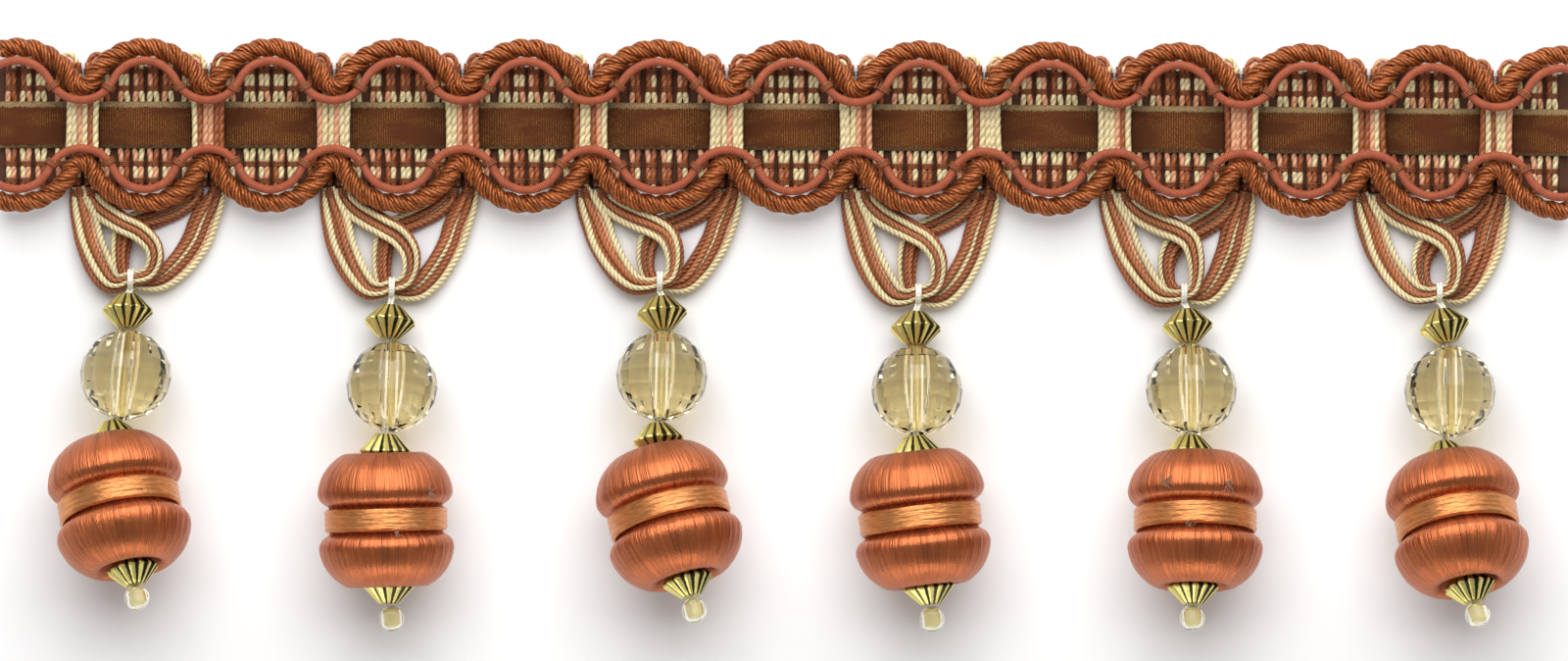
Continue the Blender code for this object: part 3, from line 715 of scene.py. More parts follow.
@dataclass(frozen=True)
class Twisted(Finish):
    """Twisted yarn: slanted plies with painted shade in the grooves, fine filaments and painted
    highlights as bright flecks.
    """

    plies: float = 3.0
    lay: float = 3.1
    # Share of brightness left in the grooves: painted shade.
    groove_shade: float = 0.35
    relief: float = 0.2

    def pattern(self, at: Value, u: Value, v: Value) -> tuple[Value, Value, Value]:
        """Slanted plies crossed by fine filaments, with painted shade in the grooves and painted
        highlight flecks; see Finish.pattern.
        """
        ply = (u * self.plies - v * (self.plies / self.lay)).wave()
        hair = (u * (self.plies * 4.0) + v * (self.plies * 2.0 / self.lay)).wave()
        glint_flecks = self.noise(at, 2.6, 2.6, 2.6, 4.0)
        slow = self.noise(at, 0.25, 0.25, 0.25, 2.0)
        # Painted shade: the colour darkens in the grooves between the plies.
        lit = ply.ramp(0.0, 0.6) * (1.0 - self.groove_shade) + self.groove_shade
        # Painted highlights: bright flecks of noise raise the colour.
        factor = lit * (glint_flecks * 0.7 + slow * 0.4 + hair * 0.12 + 0.42)
        rough = glint_flecks * 0.3 + (self.roughness - 0.15)
        return factor, rough, (ply * 0.8 + hair * 0.15 + glint_flecks * 0.35) * self.relief


@dataclass(frozen=True)
class Strand(Twisted):
    """A rope's strand: broad slanted facets, brightened unevenly by painted highlights."""

    def pattern(self, at: Value, u: Value, v: Value) -> tuple[Value, Value, Value]:
        """Facets of the plies, some bright and some dull, with painted highlight flecks and painted
        shade in the grooves; see Finish.pattern.
        """
        phase = u * self.plies - v * (self.plies / self.lay)
        ply = phase.wave()
        place = at.node("ShaderNodeCombineXYZ", {"X": phase, "Y": v * 0.35})
        tone = self.noise(place, 1.0, 1.0, 1.0, 2.0)
        glint_flecks = self.noise(at, 3.2, 3.2, 3.2, 4.0)
        # Painted shade: the colour darkens in the grooves between the plies.
        lit = ply.ramp(0.0, 0.55) * (1.0 - self.groove_shade) + self.groove_shade
        # Painted highlights: facets brightened by the tone noise, and bright flecks.
        factor = lit * (tone * 1.1 + glint_flecks.ramp(0.35, 0.75) * 0.6 + 0.22)
        rough = glint_flecks * 0.35 + (self.roughness - 0.17)
        return factor, rough, (ply * 0.8 + glint_flecks * 0.5 + tone * 0.4) * self.relief


@dataclass(frozen=True)
class Wrapped(Finish):
    """A core wrapped crosswise in fine thread."""

    wraps: float = 2.6

    def pattern(self, at: Value, u: Value, v: Value) -> tuple[Value, Value, Value]:
        """Rings of fine wraps along the cord; see Finish.pattern."""
        rings = (v * self.wraps + u * 0.5).wave()
        fleck = self.noise(at, 0.6, 0.6, 0.6, 3.0)
        factor = rings * 0.4 + fleck * 0.7 + 0.45
        return factor, fleck * 0.3 + (self.roughness - 0.1), rings * 0.12 + fleck * 0.10


@dataclass(frozen=True)
class Velvet(Finish):
    """Velvet pile with fine golden ribs across the ribbon and pale selvedges."""

    ribs: float = 2.1

    def pattern(self, at: Value, u: Value, v: Value) -> tuple[Value, Value, Value]:
        """Fine ribs along v with a soft pile; see Finish.pattern."""
        pile = self.noise(at, 3.0, 3.0, 3.0, 3.0)
        ribs = (v * self.ribs).wave()
        return pile * 0.9 + 0.5, pile * 0.1 + self.roughness, pile * 0.12 + ribs * 0.05

    def base(self, at: Value, u: Value, v: Value, factor: Value) -> Value:
        """Brown pile, gold where ribs and a slow patch agree, tan at both edges, times the tint, which
        holds painted shadow under the bars.
        """
        ribs = (v * self.ribs).wave().ramp(0.35, 0.95)
        patch = self.noise(at, 0.11, 0.30, 0.1, 2.0).ramp(0.36, 0.62)
        speck = self.noise(at, 1.5, 5.0, 1.0, 3.0).ramp(0.35, 0.65)
        gold = self.mixed(ribs * patch * speck, (*self.colour, 1.0), (0.30, 0.135, 0.03, 1.0))
        fuzz = self.noise(at, 2.5, 0.4, 1.0, 3.0) * 0.05
        edge = ((u - 0.242).math("ABSOLUTE") + fuzz).ramp(0.212, 0.235)
        thread = self.noise(at, 3.5, 6.0, 1.0, 3.0).ramp(0.2, 0.8)
        tan = self.mixed(thread, (0.13, 0.075, 0.028, 1.0), (0.42, 0.30, 0.15, 1.0))
        # The tint carries the ribbon's painted shadow under the bars.
        shade = at.node("ShaderNodeVertexColor", {}, "Color", layer_name="tint")
        return self.scaled(self.scaled(self.mixed(edge, gold, tan), factor), shade)


@dataclass(frozen=True)
class Floss(Finish):
    """Silk floss laid in fine threads along v, with streaked highlights."""

    threads: float = 230.0

    def pattern(self, at: Value, u: Value, v: Value) -> tuple[Value, Value, Value]:
        """Threads from stretched noise round the bead; see Finish.pattern."""
        place = u.node("ShaderNodeCombineXYZ", {"X": u * self.threads, "Y": v * 0.05})
        fine = self.noise(place, 1.0, 1.0, 1.0, 3.0)
        broad = self.noise(place, 0.12, 1.0, 1.0, 2.0)
        grain = self.noise(at, 2.5, 2.5, 2.5, 4.0)
        factor = fine * 0.9 + broad * 0.8 + grain * 0.4
        rough = fine * 0.2 + (self.roughness - 0.1)
        return factor, rough, fine * 0.30 + broad * 0.3 + grain * 0.05


@dataclass(frozen=True)
class Band(Finish):
    """Floss laid round the waist: fine lines along u."""

    def pattern(self, at: Value, u: Value, v: Value) -> tuple[Value, Value, Value]:
        """Lines of noise across v; see Finish.pattern."""
        place = u.node("ShaderNodeCombineXYZ", {"X": u * 14.0, "Y": v * 4.0})
        fine = self.noise(place, 1.0, 1.0, 1.0, 4.0)
        tangle = self.noise(place, 1.6, 0.35, 1.0, 3.0)
        factor = fine * 0.9 + tangle * 0.7 + 0.2
        return factor, fine * 0.25 + (self.roughness - 0.1), fine * 0.22 + tangle * 0.35


@dataclass(frozen=True)
class AntiqueGold(Finish):
    """Metallised gold with black left in the grooves of the flutes."""

    flutes: float = 14.0

    def pattern(self, at: Value, u: Value, v: Value) -> tuple[Value, Value, Value]:
        """Dark where the flute wave is low; see Finish.pattern."""
        worn = self.noise(at, 1.5, 1.5, 1.5, 4.0)
        ridge = (u * self.flutes - 0.25).wave() + (worn - 0.5) * 0.5
        factor = ridge.ramp(0.18, 0.50) * 1.1 + 0.04
        return factor, worn * 0.25 + self.roughness, worn * 0.03


@dataclass(frozen=True)
class Clear(Finish):
    """Clear tinted acrylic, polished."""

    def pattern(self, at: Value, u: Value, v: Value) -> tuple[Value, Value, Value]:
        """Nearly even, with faint smears; see Finish.pattern."""
        smear = self.noise(at, 0.3, 0.3, 0.3, 2.0)
        return smear * 0.1 + 0.95, smear * 0.04 + self.roughness, smear * 0.0


ROPE = Strand("rope rayon", (0.45, 0.125, 0.032), 0.36, "rope", plies=6.0, lay=6.5,
              groove_shade=0.34, relief=0.22, specular=0.35, metallic=0.45)
GIMP = Wrapped("gimp thread", (0.42, 0.100, 0.046), 0.45, "gimp", specular=0.35)
YARN = Twisted("heading yarn", (1.0, 1.0, 1.0), 0.42, "web", plies=2.0, lay=3.6, groove_shade=0.6,
               relief=0.14)
STITCH = Twisted("binding thread", (1.0, 1.0, 1.0), 0.5, "web", plies=2.0, lay=1.2, relief=0.08)
CLOTH = Twisted("heading ground", (1.0, 1.0, 1.0), 0.8, "web", plies=60.0, lay=30.0, relief=0.1)
VELVET = Velvet("velvet pile", (0.098, 0.027, 0.0075), 0.85, "velvet", sheen=0.1, specular=0.12)
CORD = Twisted("twisted cord", (1.0, 1.0, 1.0), 0.40, "cords", plies=3.0, lay=3.3, groove_shade=0.58,
               relief=0.20)
THREAD = Twisted("sewing thread", (0.84, 0.81, 0.72), 0.6, "thread", plies=2.0, lay=1.2,
                 groove_shade=0.75, relief=0.05)
GOLD = AntiqueGold("antique gold", (0.74, 0.64, 0.21), 0.20, "gold", metallic=0.8)
CRYSTAL = Clear("champagne acrylic", (0.97, 0.87, 0.58), 0.03, "crystal", transmission=1.0,
                ior=1.42)
FLOSS = Floss("copper floss", (0.47, 0.130, 0.046), 0.28, "floss", metallic=0.85)
BAND = Band("band floss", (0.66, 0.26, 0.085), 0.27, "band", metallic=0.8)
PALE = Clear("pale bead", (0.82, 0.74, 0.38), 0.12, "pale", transmission=0.6, ior=1.45)


def finish_piece(item: bpy.types.Object, finish: Finish, *nodes: str) -> bpy.types.Object:
    """Ties a finished piece to the frame.

    Args:
        item: The piece.
        finish: Not used.
        *nodes: CAD nodes that it stands for.

    Returns:
        The same piece.
    """
    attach(item, "root")
    if nodes:
        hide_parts(*nodes)
    return item


# Heading


@dataclass(frozen=True)
class ScallopLine:
    """A scalloped line: small arcs in the valleys run into broad arcs over the crests."""

    way: Way
    crest: float
    valley: float
    inset: float
    height: float
    valley_radius: float = 2.15 * MM

    def points(self, step: float) -> np.ndarray:
        """The line along the whole trim.

        Each half scallop is two arcs that meet at twice atan(rise / half pitch).

        Args:
            step: Distance between points in metres.

        Returns:
            Points in metres.
        """
        edges = SCALLOPS.x()
        pieces = []
        for here, there in zip(edges, edges[1:]):
            middle = (here + there) / 2.0
            pieces.append(self.half(here, middle)[:-1])
            pieces.append(self.half(there, middle)[::-1][:-1])
        line = np.concatenate(pieces)
        line = line[np.argsort(line[:, 0], kind="stable")]
        flat = np.column_stack([line, np.zeros(len(line))])
        fine = even(flat, step)
        kept = fine[np.abs(fine[:, 0]) <= SCALLOPS.half_length]
        kept[:, 1] = self.way.value * kept[:, 1] + SCALLOPS.drift(kept[:, 0])
        kept[:, 2] = self.height
        return kept

    def half(self, start: float, middle: float) -> np.ndarray:
        """Points of one half scallop, from the valley to the crest.

        Args:
            start: Valley x.
            middle: Crest x.

        Returns:
            Rows of x and y.
        """
        span = abs(middle - start)
        rise = self.crest - self.valley
        angle = 2.0 * math.atan(rise / span)
        small = self.valley_radius + self.inset
        broad = span / math.sin(angle) - small
        low = np.linspace(0.0, angle, 12)
        high = np.linspace(angle, 0.0, 30)[1:]
        x = np.concatenate([small * np.sin(low), span - broad * np.sin(high)])
        y = np.concatenate([small * (1 - np.cos(low)), rise - broad * (1 - np.cos(high))])
        side = math.copysign(1.0, middle - start)
        return np.column_stack([start + side * x, self.valley - self.inset + y])


@dataclass(frozen=True)
class RopePair:
    """A three-strand rope and the wrapped gimp beside it, on one side of the heading."""

    way: Way
    crest: float
    valley: float
    rope_height: float = 4.55 * MM
    gimp_height: float = 6.35 * MM
    strand: float = 1.02 * MM
    lay: float = 10.0 * MM

    def build(self) -> None:
        """Adds the rope, the gimp and the threads that bind them."""
        name = self.way.name.lower()
        line = ScallopLine(self.way, self.crest, self.valley, 0.0, self.rope_height).points(0.45 * MM)
        run = run_of(line)
        _, side, up = frames(line, (0.0, 0.0, 1.0))
        bag = MeshBag()
        for k in range(3):
            turn = TAU * (run / self.lay + k / 3.0)
            offset = 0.93 * MM * (np.cos(turn)[:, None] * side + np.sin(turn)[:, None] * up)
            shade = 0.94 + 0.06 * k
            cord = Cord(self.strand, plies=5, lay=-7.0 * MM, depth=0.08, sides=12)
            cord.along(bag, line + offset, np.full(3, shade))
        finish_piece(bag.build(f"rope_{name}_strands", ROPE), ROPE, f"rope_{name}")
        gimp = ScallopLine(self.way, self.crest, self.valley, 2.7 * MM, self.gimp_height, 4.3 * MM)
        path = gimp.points(0.4 * MM)
        bag = MeshBag()
        Cord(0.82 * MM, plies=1, depth=0.0, sides=10).along(bag, path, np.ones(3))
        finish_piece(bag.build(f"gimp_{name}_cord", GIMP), GIMP, f"gimp_{name}")
        self.bindings(path, line, name)

    def bindings(self, gimp: np.ndarray, rope: np.ndarray, name: str) -> None:
        """Adds short threads over the gimp and the rope on each slope.

        Args:
            gimp: The gimp's centre line.
            rope: The rope's centre line.
            name: Name of the side.
        """
        bag = MeshBag()
        share = SCALLOPS.window_share(gimp[:, 0])
        arc = np.linspace(-0.35, math.pi + 0.2, 14)
        for target in (0.22, 0.78):
            hits = np.flatnonzero(np.diff(np.sign(share - target)) > 0)
            for index in hits:
                centre = gimp[index]
                near = rope[np.argmin(np.linalg.norm(rope[:, :2] - centre[:2], axis=1))]
                out = unit(np.array([near[0] - centre[0], near[1] - centre[1], 0.0]))
                reach = 1.15 * MM
                path = centre + reach * (np.cos(arc)[:, None] * out + np.sin(arc)[:, None] * (0, 0, 1))
                along = np.array([-out[1], out[0], 0.0])
                for shift in (-0.4 * MM, 0.0, 0.4 * MM):
                    Cord(0.22 * MM, plies=2, lay=1.2 * MM, depth=0.0, sides=6).along(
                        bag, path + along * shift, np.array(Yarn.RUST.value), along
                    )
        finish_piece(bag.build(f"bindings_{name}", STITCH), STITCH)


@dataclass(frozen=True)
class Level:
    """Where a rib's sections meet on one side: the ribbon's edge, two bindings and the end."""

    first: float
    second: float
    end: float


@dataclass(frozen=True)
class Heading:
    """Woven heading: ground cloth, ribs of yarn, their bindings, picots and bars."""

    top: float = 12.1 * MM
    low: float = 12.2 * MM
    ground: float = 1.0 * MM
    start: float = 4.3 * MM
    yarn: float = 0.60 * MM
    pitch: float = 25.4 * MM
    ribs_at: tuple[float, ...] = (-11.3, -8.4, -4.42, -1.47, 1.47, 4.42, 8.4, 11.3)
    upper: Level = Level(7.2 * MM, 10.6 * MM, 12.3 * MM)
    lower: Level = Level(7.7 * MM, 11.0 * MM, 12.0 * MM)
    seed: int = 7

    def build(self) -> None:
        """Adds every piece of the heading but the ropes."""
        self.cloth()
        self.ribs()
        self.bindings()
        self.bars()
        self.ribbon()

    def edge(self, x: np.ndarray) -> np.ndarray:
        """Upper edge of the ground cloth, with a notch under each crest and at each valley.

        Args:
            x: Places along the trim.

        Returns:
            Distance of the edge from the centre line.
        """
        share = SCALLOPS.window_share(x)
        crest = np.clip(1.0 - np.abs(share - 0.5) * self.pitch / (1.2 * MM), 0.0, 1.0)
        valley = np.clip(1.3 - np.minimum(share, 1.0 - share) * self.pitch / (0.9 * MM), 0.0, 1.0)
        return self.top - 0.6 * MM * crest - 2.6 * MM * valley

    def cloth(self) -> None:
        """Adds the flat ground cloth."""
        x = np.linspace(-SCALLOPS.half_length, SCALLOPS.half_length, 900)
        across = np.linspace(-1.0, 1.0, 14)
        top = np.where(across[None] > 0, self.edge(x)[:, None], self.low) * across[None]
        y = top + SCALLOPS.drift(x)[:, None]
        weave = 0.12 * MM * np.sin(x[:, None] / MM * 4.2) * np.cos(across[None] * 40.0)
        face = np.stack([np.broadcast_to(x[:, None], y.shape), y, self.ground - 0.15 * MM + weave], -1)
        back = np.stack([face[..., 0], y, np.zeros_like(y)], -1)
        grid = np.concatenate([face, back[:, ::-1]], axis=1)
        cols = grid.shape[1]
        uv = np.stack(np.broadcast_arrays(np.linspace(0, 1, cols + 1)[None], x[:, None] / MM), -1)
        bag = MeshBag()
        # Dark brown ground, deepened as painted shade for the gaps between the ribs.
        bag.add_grid(grid[:, ::-1], uv[:, ::-1], np.array((0.10, 0.030, 0.011)))
        item = finish_piece(bag.build("heading_cloth", CLOTH), CLOTH, "heading_web")

    def rib_places(self) -> list[tuple[float, float]]:
        """Where the ribs stand.

        Returns:
            Rows of x and of millimetres from the middle of its window.
        """
        rows = []
        for here, there in zip(SCALLOPS.x(), SCALLOPS.x()[1:]):
            for place in self.ribs_at:
                x = (here + there) / 2.0 + place * (there - here) / 25.4
                if abs(x) < SCALLOPS.half_length - 1.2 * MM:
                    rows.append((x, place))
        return rows

    def ribs(self) -> None:
        """Adds the upright bundles of weft above and below the ribbon, with their picots."""
        rng = np.random.default_rng(self.seed)
        bag = MeshBag()
        for x, place in self.rib_places():
            self.rib(bag, rng, x, Way.UPPER, self.upper)
            self.rib(bag, rng, x, Way.LOWER, self.lower)
            if place in self.ribs_at[::2]:
                reach = self.ribs_at[self.ribs_at.index(place) + 1] - place
                near_valley = abs(place) > 6.0
                self.picot(bag, rng, x + reach * MM / 2.0, 1.9 if near_valley else 0.9)
        finish_piece(bag.build("heading_ribs", YARN), YARN)

    def rib(
        self, bag: MeshBag, rng: np.random.Generator, x: float, way: Way, level: Level
    ) -> None:
        """Adds the two yarns of one rib, splayed at the ribbon and pinched at the bindings.

        Args:
            bag: Receives the surface.
            rng: Seeded variation.
            x: Middle of the rib.
            way: Side of the heading.
            level: Where its sections meet.
        """
        cream, peach, rust, copper = Yarn.CREAM, Yarn.PEACH, Yarn.RUST, Yarn.COPPER
        near = ((cream, cream), (cream, peach), (peach, cream), (peach, rust))
        middle = ((cream, cream), (rust, cream), (peach, rust), (copper, rust), (cream, peach))
        far = ((rust, rust), (copper, rust), (rust, cream))
        run = np.linspace(self.start, level.end, 22)
        pinch = np.exp(-(((run - level.first) / (0.45 * MM)) ** 2))
        pinch += np.exp(-(((run - level.second) / (0.45 * MM)) ** 2))
        splay = np.exp(-(((run - self.start) / (1.6 * MM)) ** 2))
        dip = np.exp(-(((run - self.start) / (0.7 * MM)) ** 2))
        part = np.searchsorted((level.first, level.second), run)
        pairs = [palette[rng.integers(len(palette))] for palette in (near, middle, far)]
        for index, side in enumerate((-1.0, 1.0)):
            tones = [pair[index].value for pair in pairs]
            offset = side * 0.5 * MM * (1.0 - 0.35 * pinch + 0.45 * splay)
            px = x + offset + rng.normal(0.0, 0.04 * MM)
            pz = self.ground + 0.40 * MM - 0.15 * MM * pinch - 0.45 * MM * dip
            path = np.stack([px, way.value * run + SCALLOPS.drift(px), pz], axis=1)
            cord = Cord(self.yarn, plies=2, lay=3.0 * MM, depth=0.12, sides=8)
            swell = 1.0 - 0.34 * pinch
            cord.along(bag, path, np.array(tones)[part], swell=swell, phase=rng.uniform(0, TAU))

    def picot(self, bag: MeshBag, rng: np.random.Generator, x: float, rise: float) -> None:
        """Adds the yarns that turn from one rib into the next at the upper edge.

        Args:
            bag: Receives the surface.
            rng: Seeded variation.
            x: Middle of the picot.
            rise: How far it stands past the ends of the ribs, in millimetres.
        """
        palette = (Yarn.CREAM, Yarn.RUST, Yarn.PEACH, Yarn.COPPER)
        arc = np.linspace(0.0, math.pi, 13)
        for half, share in ((1.62, 1.0), (0.85, 0.45)):
            tone = np.array(palette[rng.integers(len(palette))].value)
            px = x + half * MM * np.cos(arc)
            py = self.upper.end - 0.2 * MM + rise * share * MM * np.sin(arc) + SCALLOPS.drift(px)
            path = np.stack([px, py, np.full(13, self.ground + 0.3 * MM)], axis=1)
            Cord(0.5 * MM, plies=2, lay=2.0 * MM, depth=0.12, sides=8).along(bag, path, tone)

    def bindings(self) -> None:
        """Adds the turns of rust thread over each rib at both of its bindings."""
        bag = MeshBag()
        arc = np.linspace(0.0, math.pi, 8)
        tint = np.array((0.27, 0.075, 0.022))
        for x, _ in self.rib_places():
            for way, level in ((Way.UPPER, self.upper), (Way.LOWER, self.lower)):
                for row in (level.first, level.second):
                    for shift in (-0.34 * MM, 0.0, 0.34 * MM):
                        px = x + 1.12 * MM * np.cos(arc)
                        py = way.value * (row + shift) + SCALLOPS.drift(px)
                        pz = self.ground - 0.1 * MM + 1.05 * MM * np.sin(arc) ** 0.7
                        path = np.stack([px, py, pz], axis=1)
                        Cord(0.23 * MM, plies=2, lay=1.2 * MM, depth=0.0, sides=4).along(
                            bag, path, tint, (0.0, 1.0, 0.0)
                        )
        finish_piece(bag.build("heading_bindings", STITCH), STITCH)

    def bars(self) -> None:
        """Adds the bars of twisted cords over the ribbon, at every valley."""
        rng = np.random.default_rng(self.seed + 4)
        bag = MeshBag()
        tones = (Yarn.CREAM, Yarn.RUST, Yarn.CREAM, Yarn.PEACH, Yarn.CREAM, Yarn.RUST, Yarn.PEACH)
        bow = np.linspace(-1.0, 1.0, 40)
        y = 5.9 * MM * bow
        z = 0.9 * MM + 2.55 * MM * np.clip((1.0 - np.abs(bow)) / 0.16, 0.0, 1.0) ** 0.6
        for valley in SCALLOPS.x()[1:-1]:
            for k in range(6):
                tone = np.array(tones[rng.integers(len(tones))].value)
                place = (k - 2.5) * 1.16 * MM + rng.normal(0, 0.08 * MM)
                lean = rng.normal(0.0, 0.12 * MM)
                x = valley + place * (0.96 - 0.06 * (1 - bow**2)) + lean * bow
                path = np.stack([x, y + SCALLOPS.drift(x), z + 0.1 * MM * (k % 2)], axis=1)
                cord = Cord(0.66 * MM, plies=2, lay=3.0 * MM, depth=0.12, sides=8)
                cord.along(bag, path, tone, (1.0, 0.0, 0.0), phase=rng.uniform(0, TAU))
        finish_piece(bag.build("heading_bars", YARN), YARN)

    def ribbon(self) -> None:
        """Adds the velvet ribbon: low under the bars, rounded up between them, with painted shadow
        where it runs under the bars.
        """
        x = np.linspace(-SCALLOPS.half_length, SCALLOPS.half_length, 500)
        share = SCALLOPS.window_share(x)
        lift = np.clip(np.sin(math.pi * share) * 1.5 - 0.42, 0.0, 1.0) ** 0.8
        across = np.linspace(-1.0, 1.0, 30)
        crown = np.clip((1.0 - np.abs(across)) / 0.12, 0.0, 1.0) ** 0.5
        half = 4.62 * MM
        face_z = 1.55 * MM + (0.75 * MM + 0.75 * MM * lift[:, None]) * crown[None]
        y = half * across[None] + SCALLOPS.drift(x)[:, None]
        wide = np.broadcast_to(x[:, None], y.shape)
        face = np.stack([wide, y, face_z], -1)
        back_z = 1.4 * MM + 0.25 * MM * lift[:, None] + 0.0 * y
        back = np.stack([wide, y, back_z], -1)
        grid = np.concatenate([face, back[:, ::-1]], axis=1)
        cols = grid.shape[1]
        uv = np.stack(np.broadcast_arrays(np.linspace(0, 1, cols + 1)[None], x[:, None] / MM), -1)
        bag = MeshBag()
        # Painted shadow: the tint darkens where the ribbon runs low under the bars.
        shade = (0.45 + 0.55 * lift)[:, None, None] * np.ones(3)
        bag.add_grid(grid[:, ::-1], uv[:, ::-1], shade)
        finish_piece(bag.build("ribbon_velvet", VELVET), VELVET, "velvet_ribbon")


# Drops


def hermite(rows: np.ndarray, samples: int) -> np.ndarray:
    """Smooth curve through table rows (Catmull-Rom).

    Args:
        rows: Table rows.
        samples: Points per span.

    Returns:
        The sampled rows.
    """
    padded = np.concatenate([rows[:1], rows, rows[-1:]])
    t = np.linspace(0.0, 1.0, samples, endpoint=False)[:, None, None]
    p0, p1, p2, p3 = padded[:-3], padded[1:-2], padded[2:-1], padded[3:]
    value = 0.5 * (
        2 * p1 + (p2 - p0) * t + (2 * p0 - 5 * p1 + 4 * p2 - p3) * t**2
        + (3 * p1 - p0 - 3 * p2 + p3) * t**3
    )
    return np.concatenate([value.transpose(1, 0, 2).reshape(-1, rows.shape[1]), rows[-1:]])


@dataclass(frozen=True)
class Hanks:
    """The two looped hanks of twisted cords of one drop."""

    number: int
    drop: Drop
    cords: int = 6
    radius: float = 0.70 * MM

    def centre(self, is_front: bool) -> np.ndarray:
        """Centre line and spread of one hank.

        Args:
            is_front: Whether it is the hank from the left valley, which lies in front.

        Returns:
            Rows of x, y, z and spread in metres.
        """
        drop = self.drop
        way = 1.0 if is_front else -1.0
        root = SCALLOPS.x()[drop.left if is_front else drop.right] / MM
        curl = drop.front_curl if is_front else drop.back_curl
        root_y = -11.7 + float(SCALLOPS.drift(root * MM)) / MM
        table = np.array([
            (
                root + row.along * (drop.tie_x - root) + way * row.reach * curl,
                root_y + row.down * (drop.tie_y + 0.45 - root_y),
                row.front if is_front else row.back,
                row.spread,
            )
            for row in HANK_ROWS
        ])
        return even(hermite(table * MM, 24), 0.45 * MM)

    def build(self) -> None:
        """Adds both hanks, the wraps of their roots, and the tie."""
        rng = np.random.default_rng(31 + self.number)
        bag = MeshBag()
        for is_front in (True, False):
            line = self.centre(is_front)
            path, spread = line[:, :3], line[:, 3]
            _, side, up = frames(path, (0.0, 0.0, 1.0))
            share = np.linspace(0.0, 1.0, len(path))
            tones = [Yarn.RUST, Yarn.CREAM, Yarn.RUST, Yarn.COPPER, Yarn.PEACH, Yarn.CREAM]
            tones = tones if is_front else [tones[k] for k in (2, 3, 1, 0, 4, 1)]
            for k in range(self.cords):
                slide = (k - (self.cords - 1) / 2.0) / self.cords * 1.02
                drift = 0.07 * np.sin(TAU * (1.5 * share + rng.uniform())) * np.sin(math.pi * share)
                across = (slide + drift)[:, None] * spread[:, None] * side
                tight = np.clip((self.radius * 2 * self.cords - spread) / spread, 0.0, 1.0)
                stack = (k % 2 - 0.5) * 1.0 * MM * tight * np.clip(spread / (3.0 * MM), 0.4, 1.0)
                lift = (stack + rng.normal(0, 0.05 * MM))[:, None] * up
                tone = np.array(tones[k].value) * rng.uniform(0.9, 1.08)
                swell = np.clip(spread / (self.cords * self.radius * 1.1), 0.62, 1.0)
                Cord(self.radius, plies=3, lay=3.1 * MM, depth=0.0, sides=8).along(
                    bag, path + across + lift, tone, swell=swell, phase=rng.uniform(0, TAU)
                )
        self.roots(bag)
        item = bag.build(f"cords_{self.number}", CORD)
        finish_piece(item, CORD, f"cord_loops_{self.number}")
        self.tie()

    def roots(self, bag: MeshBag) -> None:
        """Adds the rust wraps round the legs where they leave the heading.

        Args:
            bag: Receives the surface.
        """
        arc = np.linspace(0.0, TAU, 17)
        for is_front in (True, False):
            line = self.centre(is_front)
            for index in (3, len(line) - 4):
                centre = line[index, :3]
                for shift in (-0.5 * MM, 0.0, 0.5 * MM):
                    px = centre[0] + 1.45 * MM * np.cos(arc)
                    pz = centre[2] + 0.95 * MM * np.sin(arc)
                    path = np.stack([px, np.full(17, centre[1] + shift + 0.1 * MM), pz], axis=1)
                    Cord(0.3 * MM, plies=2, lay=1.4 * MM, depth=0.2, sides=6).along(
                        bag, path, np.array(Yarn.RUST.value) * 0.8, (0.0, 1.0, 0.0)
                    )

    def tie(self) -> None:
        """Adds the turns of thread round both hanks and the thread down to the first bead."""
        drop = self.drop
        bag = MeshBag()
        arc = np.linspace(0.0, TAU, 25)
        middle_y = (drop.tie_y + 0.45 + 0.35) * MM
        for k, shift in enumerate((-0.38, 0.22)):
            x = (drop.tie_place() + shift) * MM + 0.12 * MM * np.sin(arc + k)
            y = middle_y + 1.95 * MM * np.cos(arc)
            z = 3.5 * MM + 2.25 * MM * np.sin(arc)
            path = np.stack([x, y, z], axis=1)
            Cord(0.36 * MM, plies=2, lay=1.6 * MM, sides=8).along(bag, path, np.ones(3), (1, 0, 0))
        start = np.array([drop.tie_place(), drop.tie_y - 1.0, 4.6])
        end = np.array([drop.top.x, drop.top.y + 3.4, 4.8])
        share = np.linspace(0, 1, 12)[:, None]
        path = (start * (1 - share) + end * share) * MM
        for shift in (-0.32, 0.32):
            Cord(0.35 * MM, plies=2, lay=1.6 * MM, sides=8).along(
                bag, path + np.array([shift * MM, 0, 0]), np.ones(3)
            )
        item = bag.build(f"tie_{self.number}", THREAD)
        finish_piece(item, THREAD, f"tie_thread_{self.number}")


def bicone_profile() -> np.ndarray:
    """Profile of a fluted double cone with a rounded rim.

    Returns:
        Radius and height rows in metres.
    """
    rows = ((0.35, -3.3), (1.6, -3.35), (2.1, -3.2), (3.2, -2.1), (4.3, -0.95), (4.9, -0.35),
            (5.12, 0.0), (4.9, 0.35), (4.3, 0.95), (3.2, 2.1), (2.1, 3.2), (1.6, 3.35), (0.35, 3.3))
    return np.array(rows) * MM


def flutes(angle: np.ndarray, share: np.ndarray) -> np.ndarray:
    """Radius factor of 14 flutes that fade at the poles.

    Args:
        angle: Angle round the bead.
        share: Share of the profile.

    Returns:
        The factor.
    """
    depth = 0.13 * np.sin(math.pi * share) ** 0.5
    return 1.0 - depth * (0.5 - 0.5 * np.cos(14 * angle - math.pi)) ** 0.8


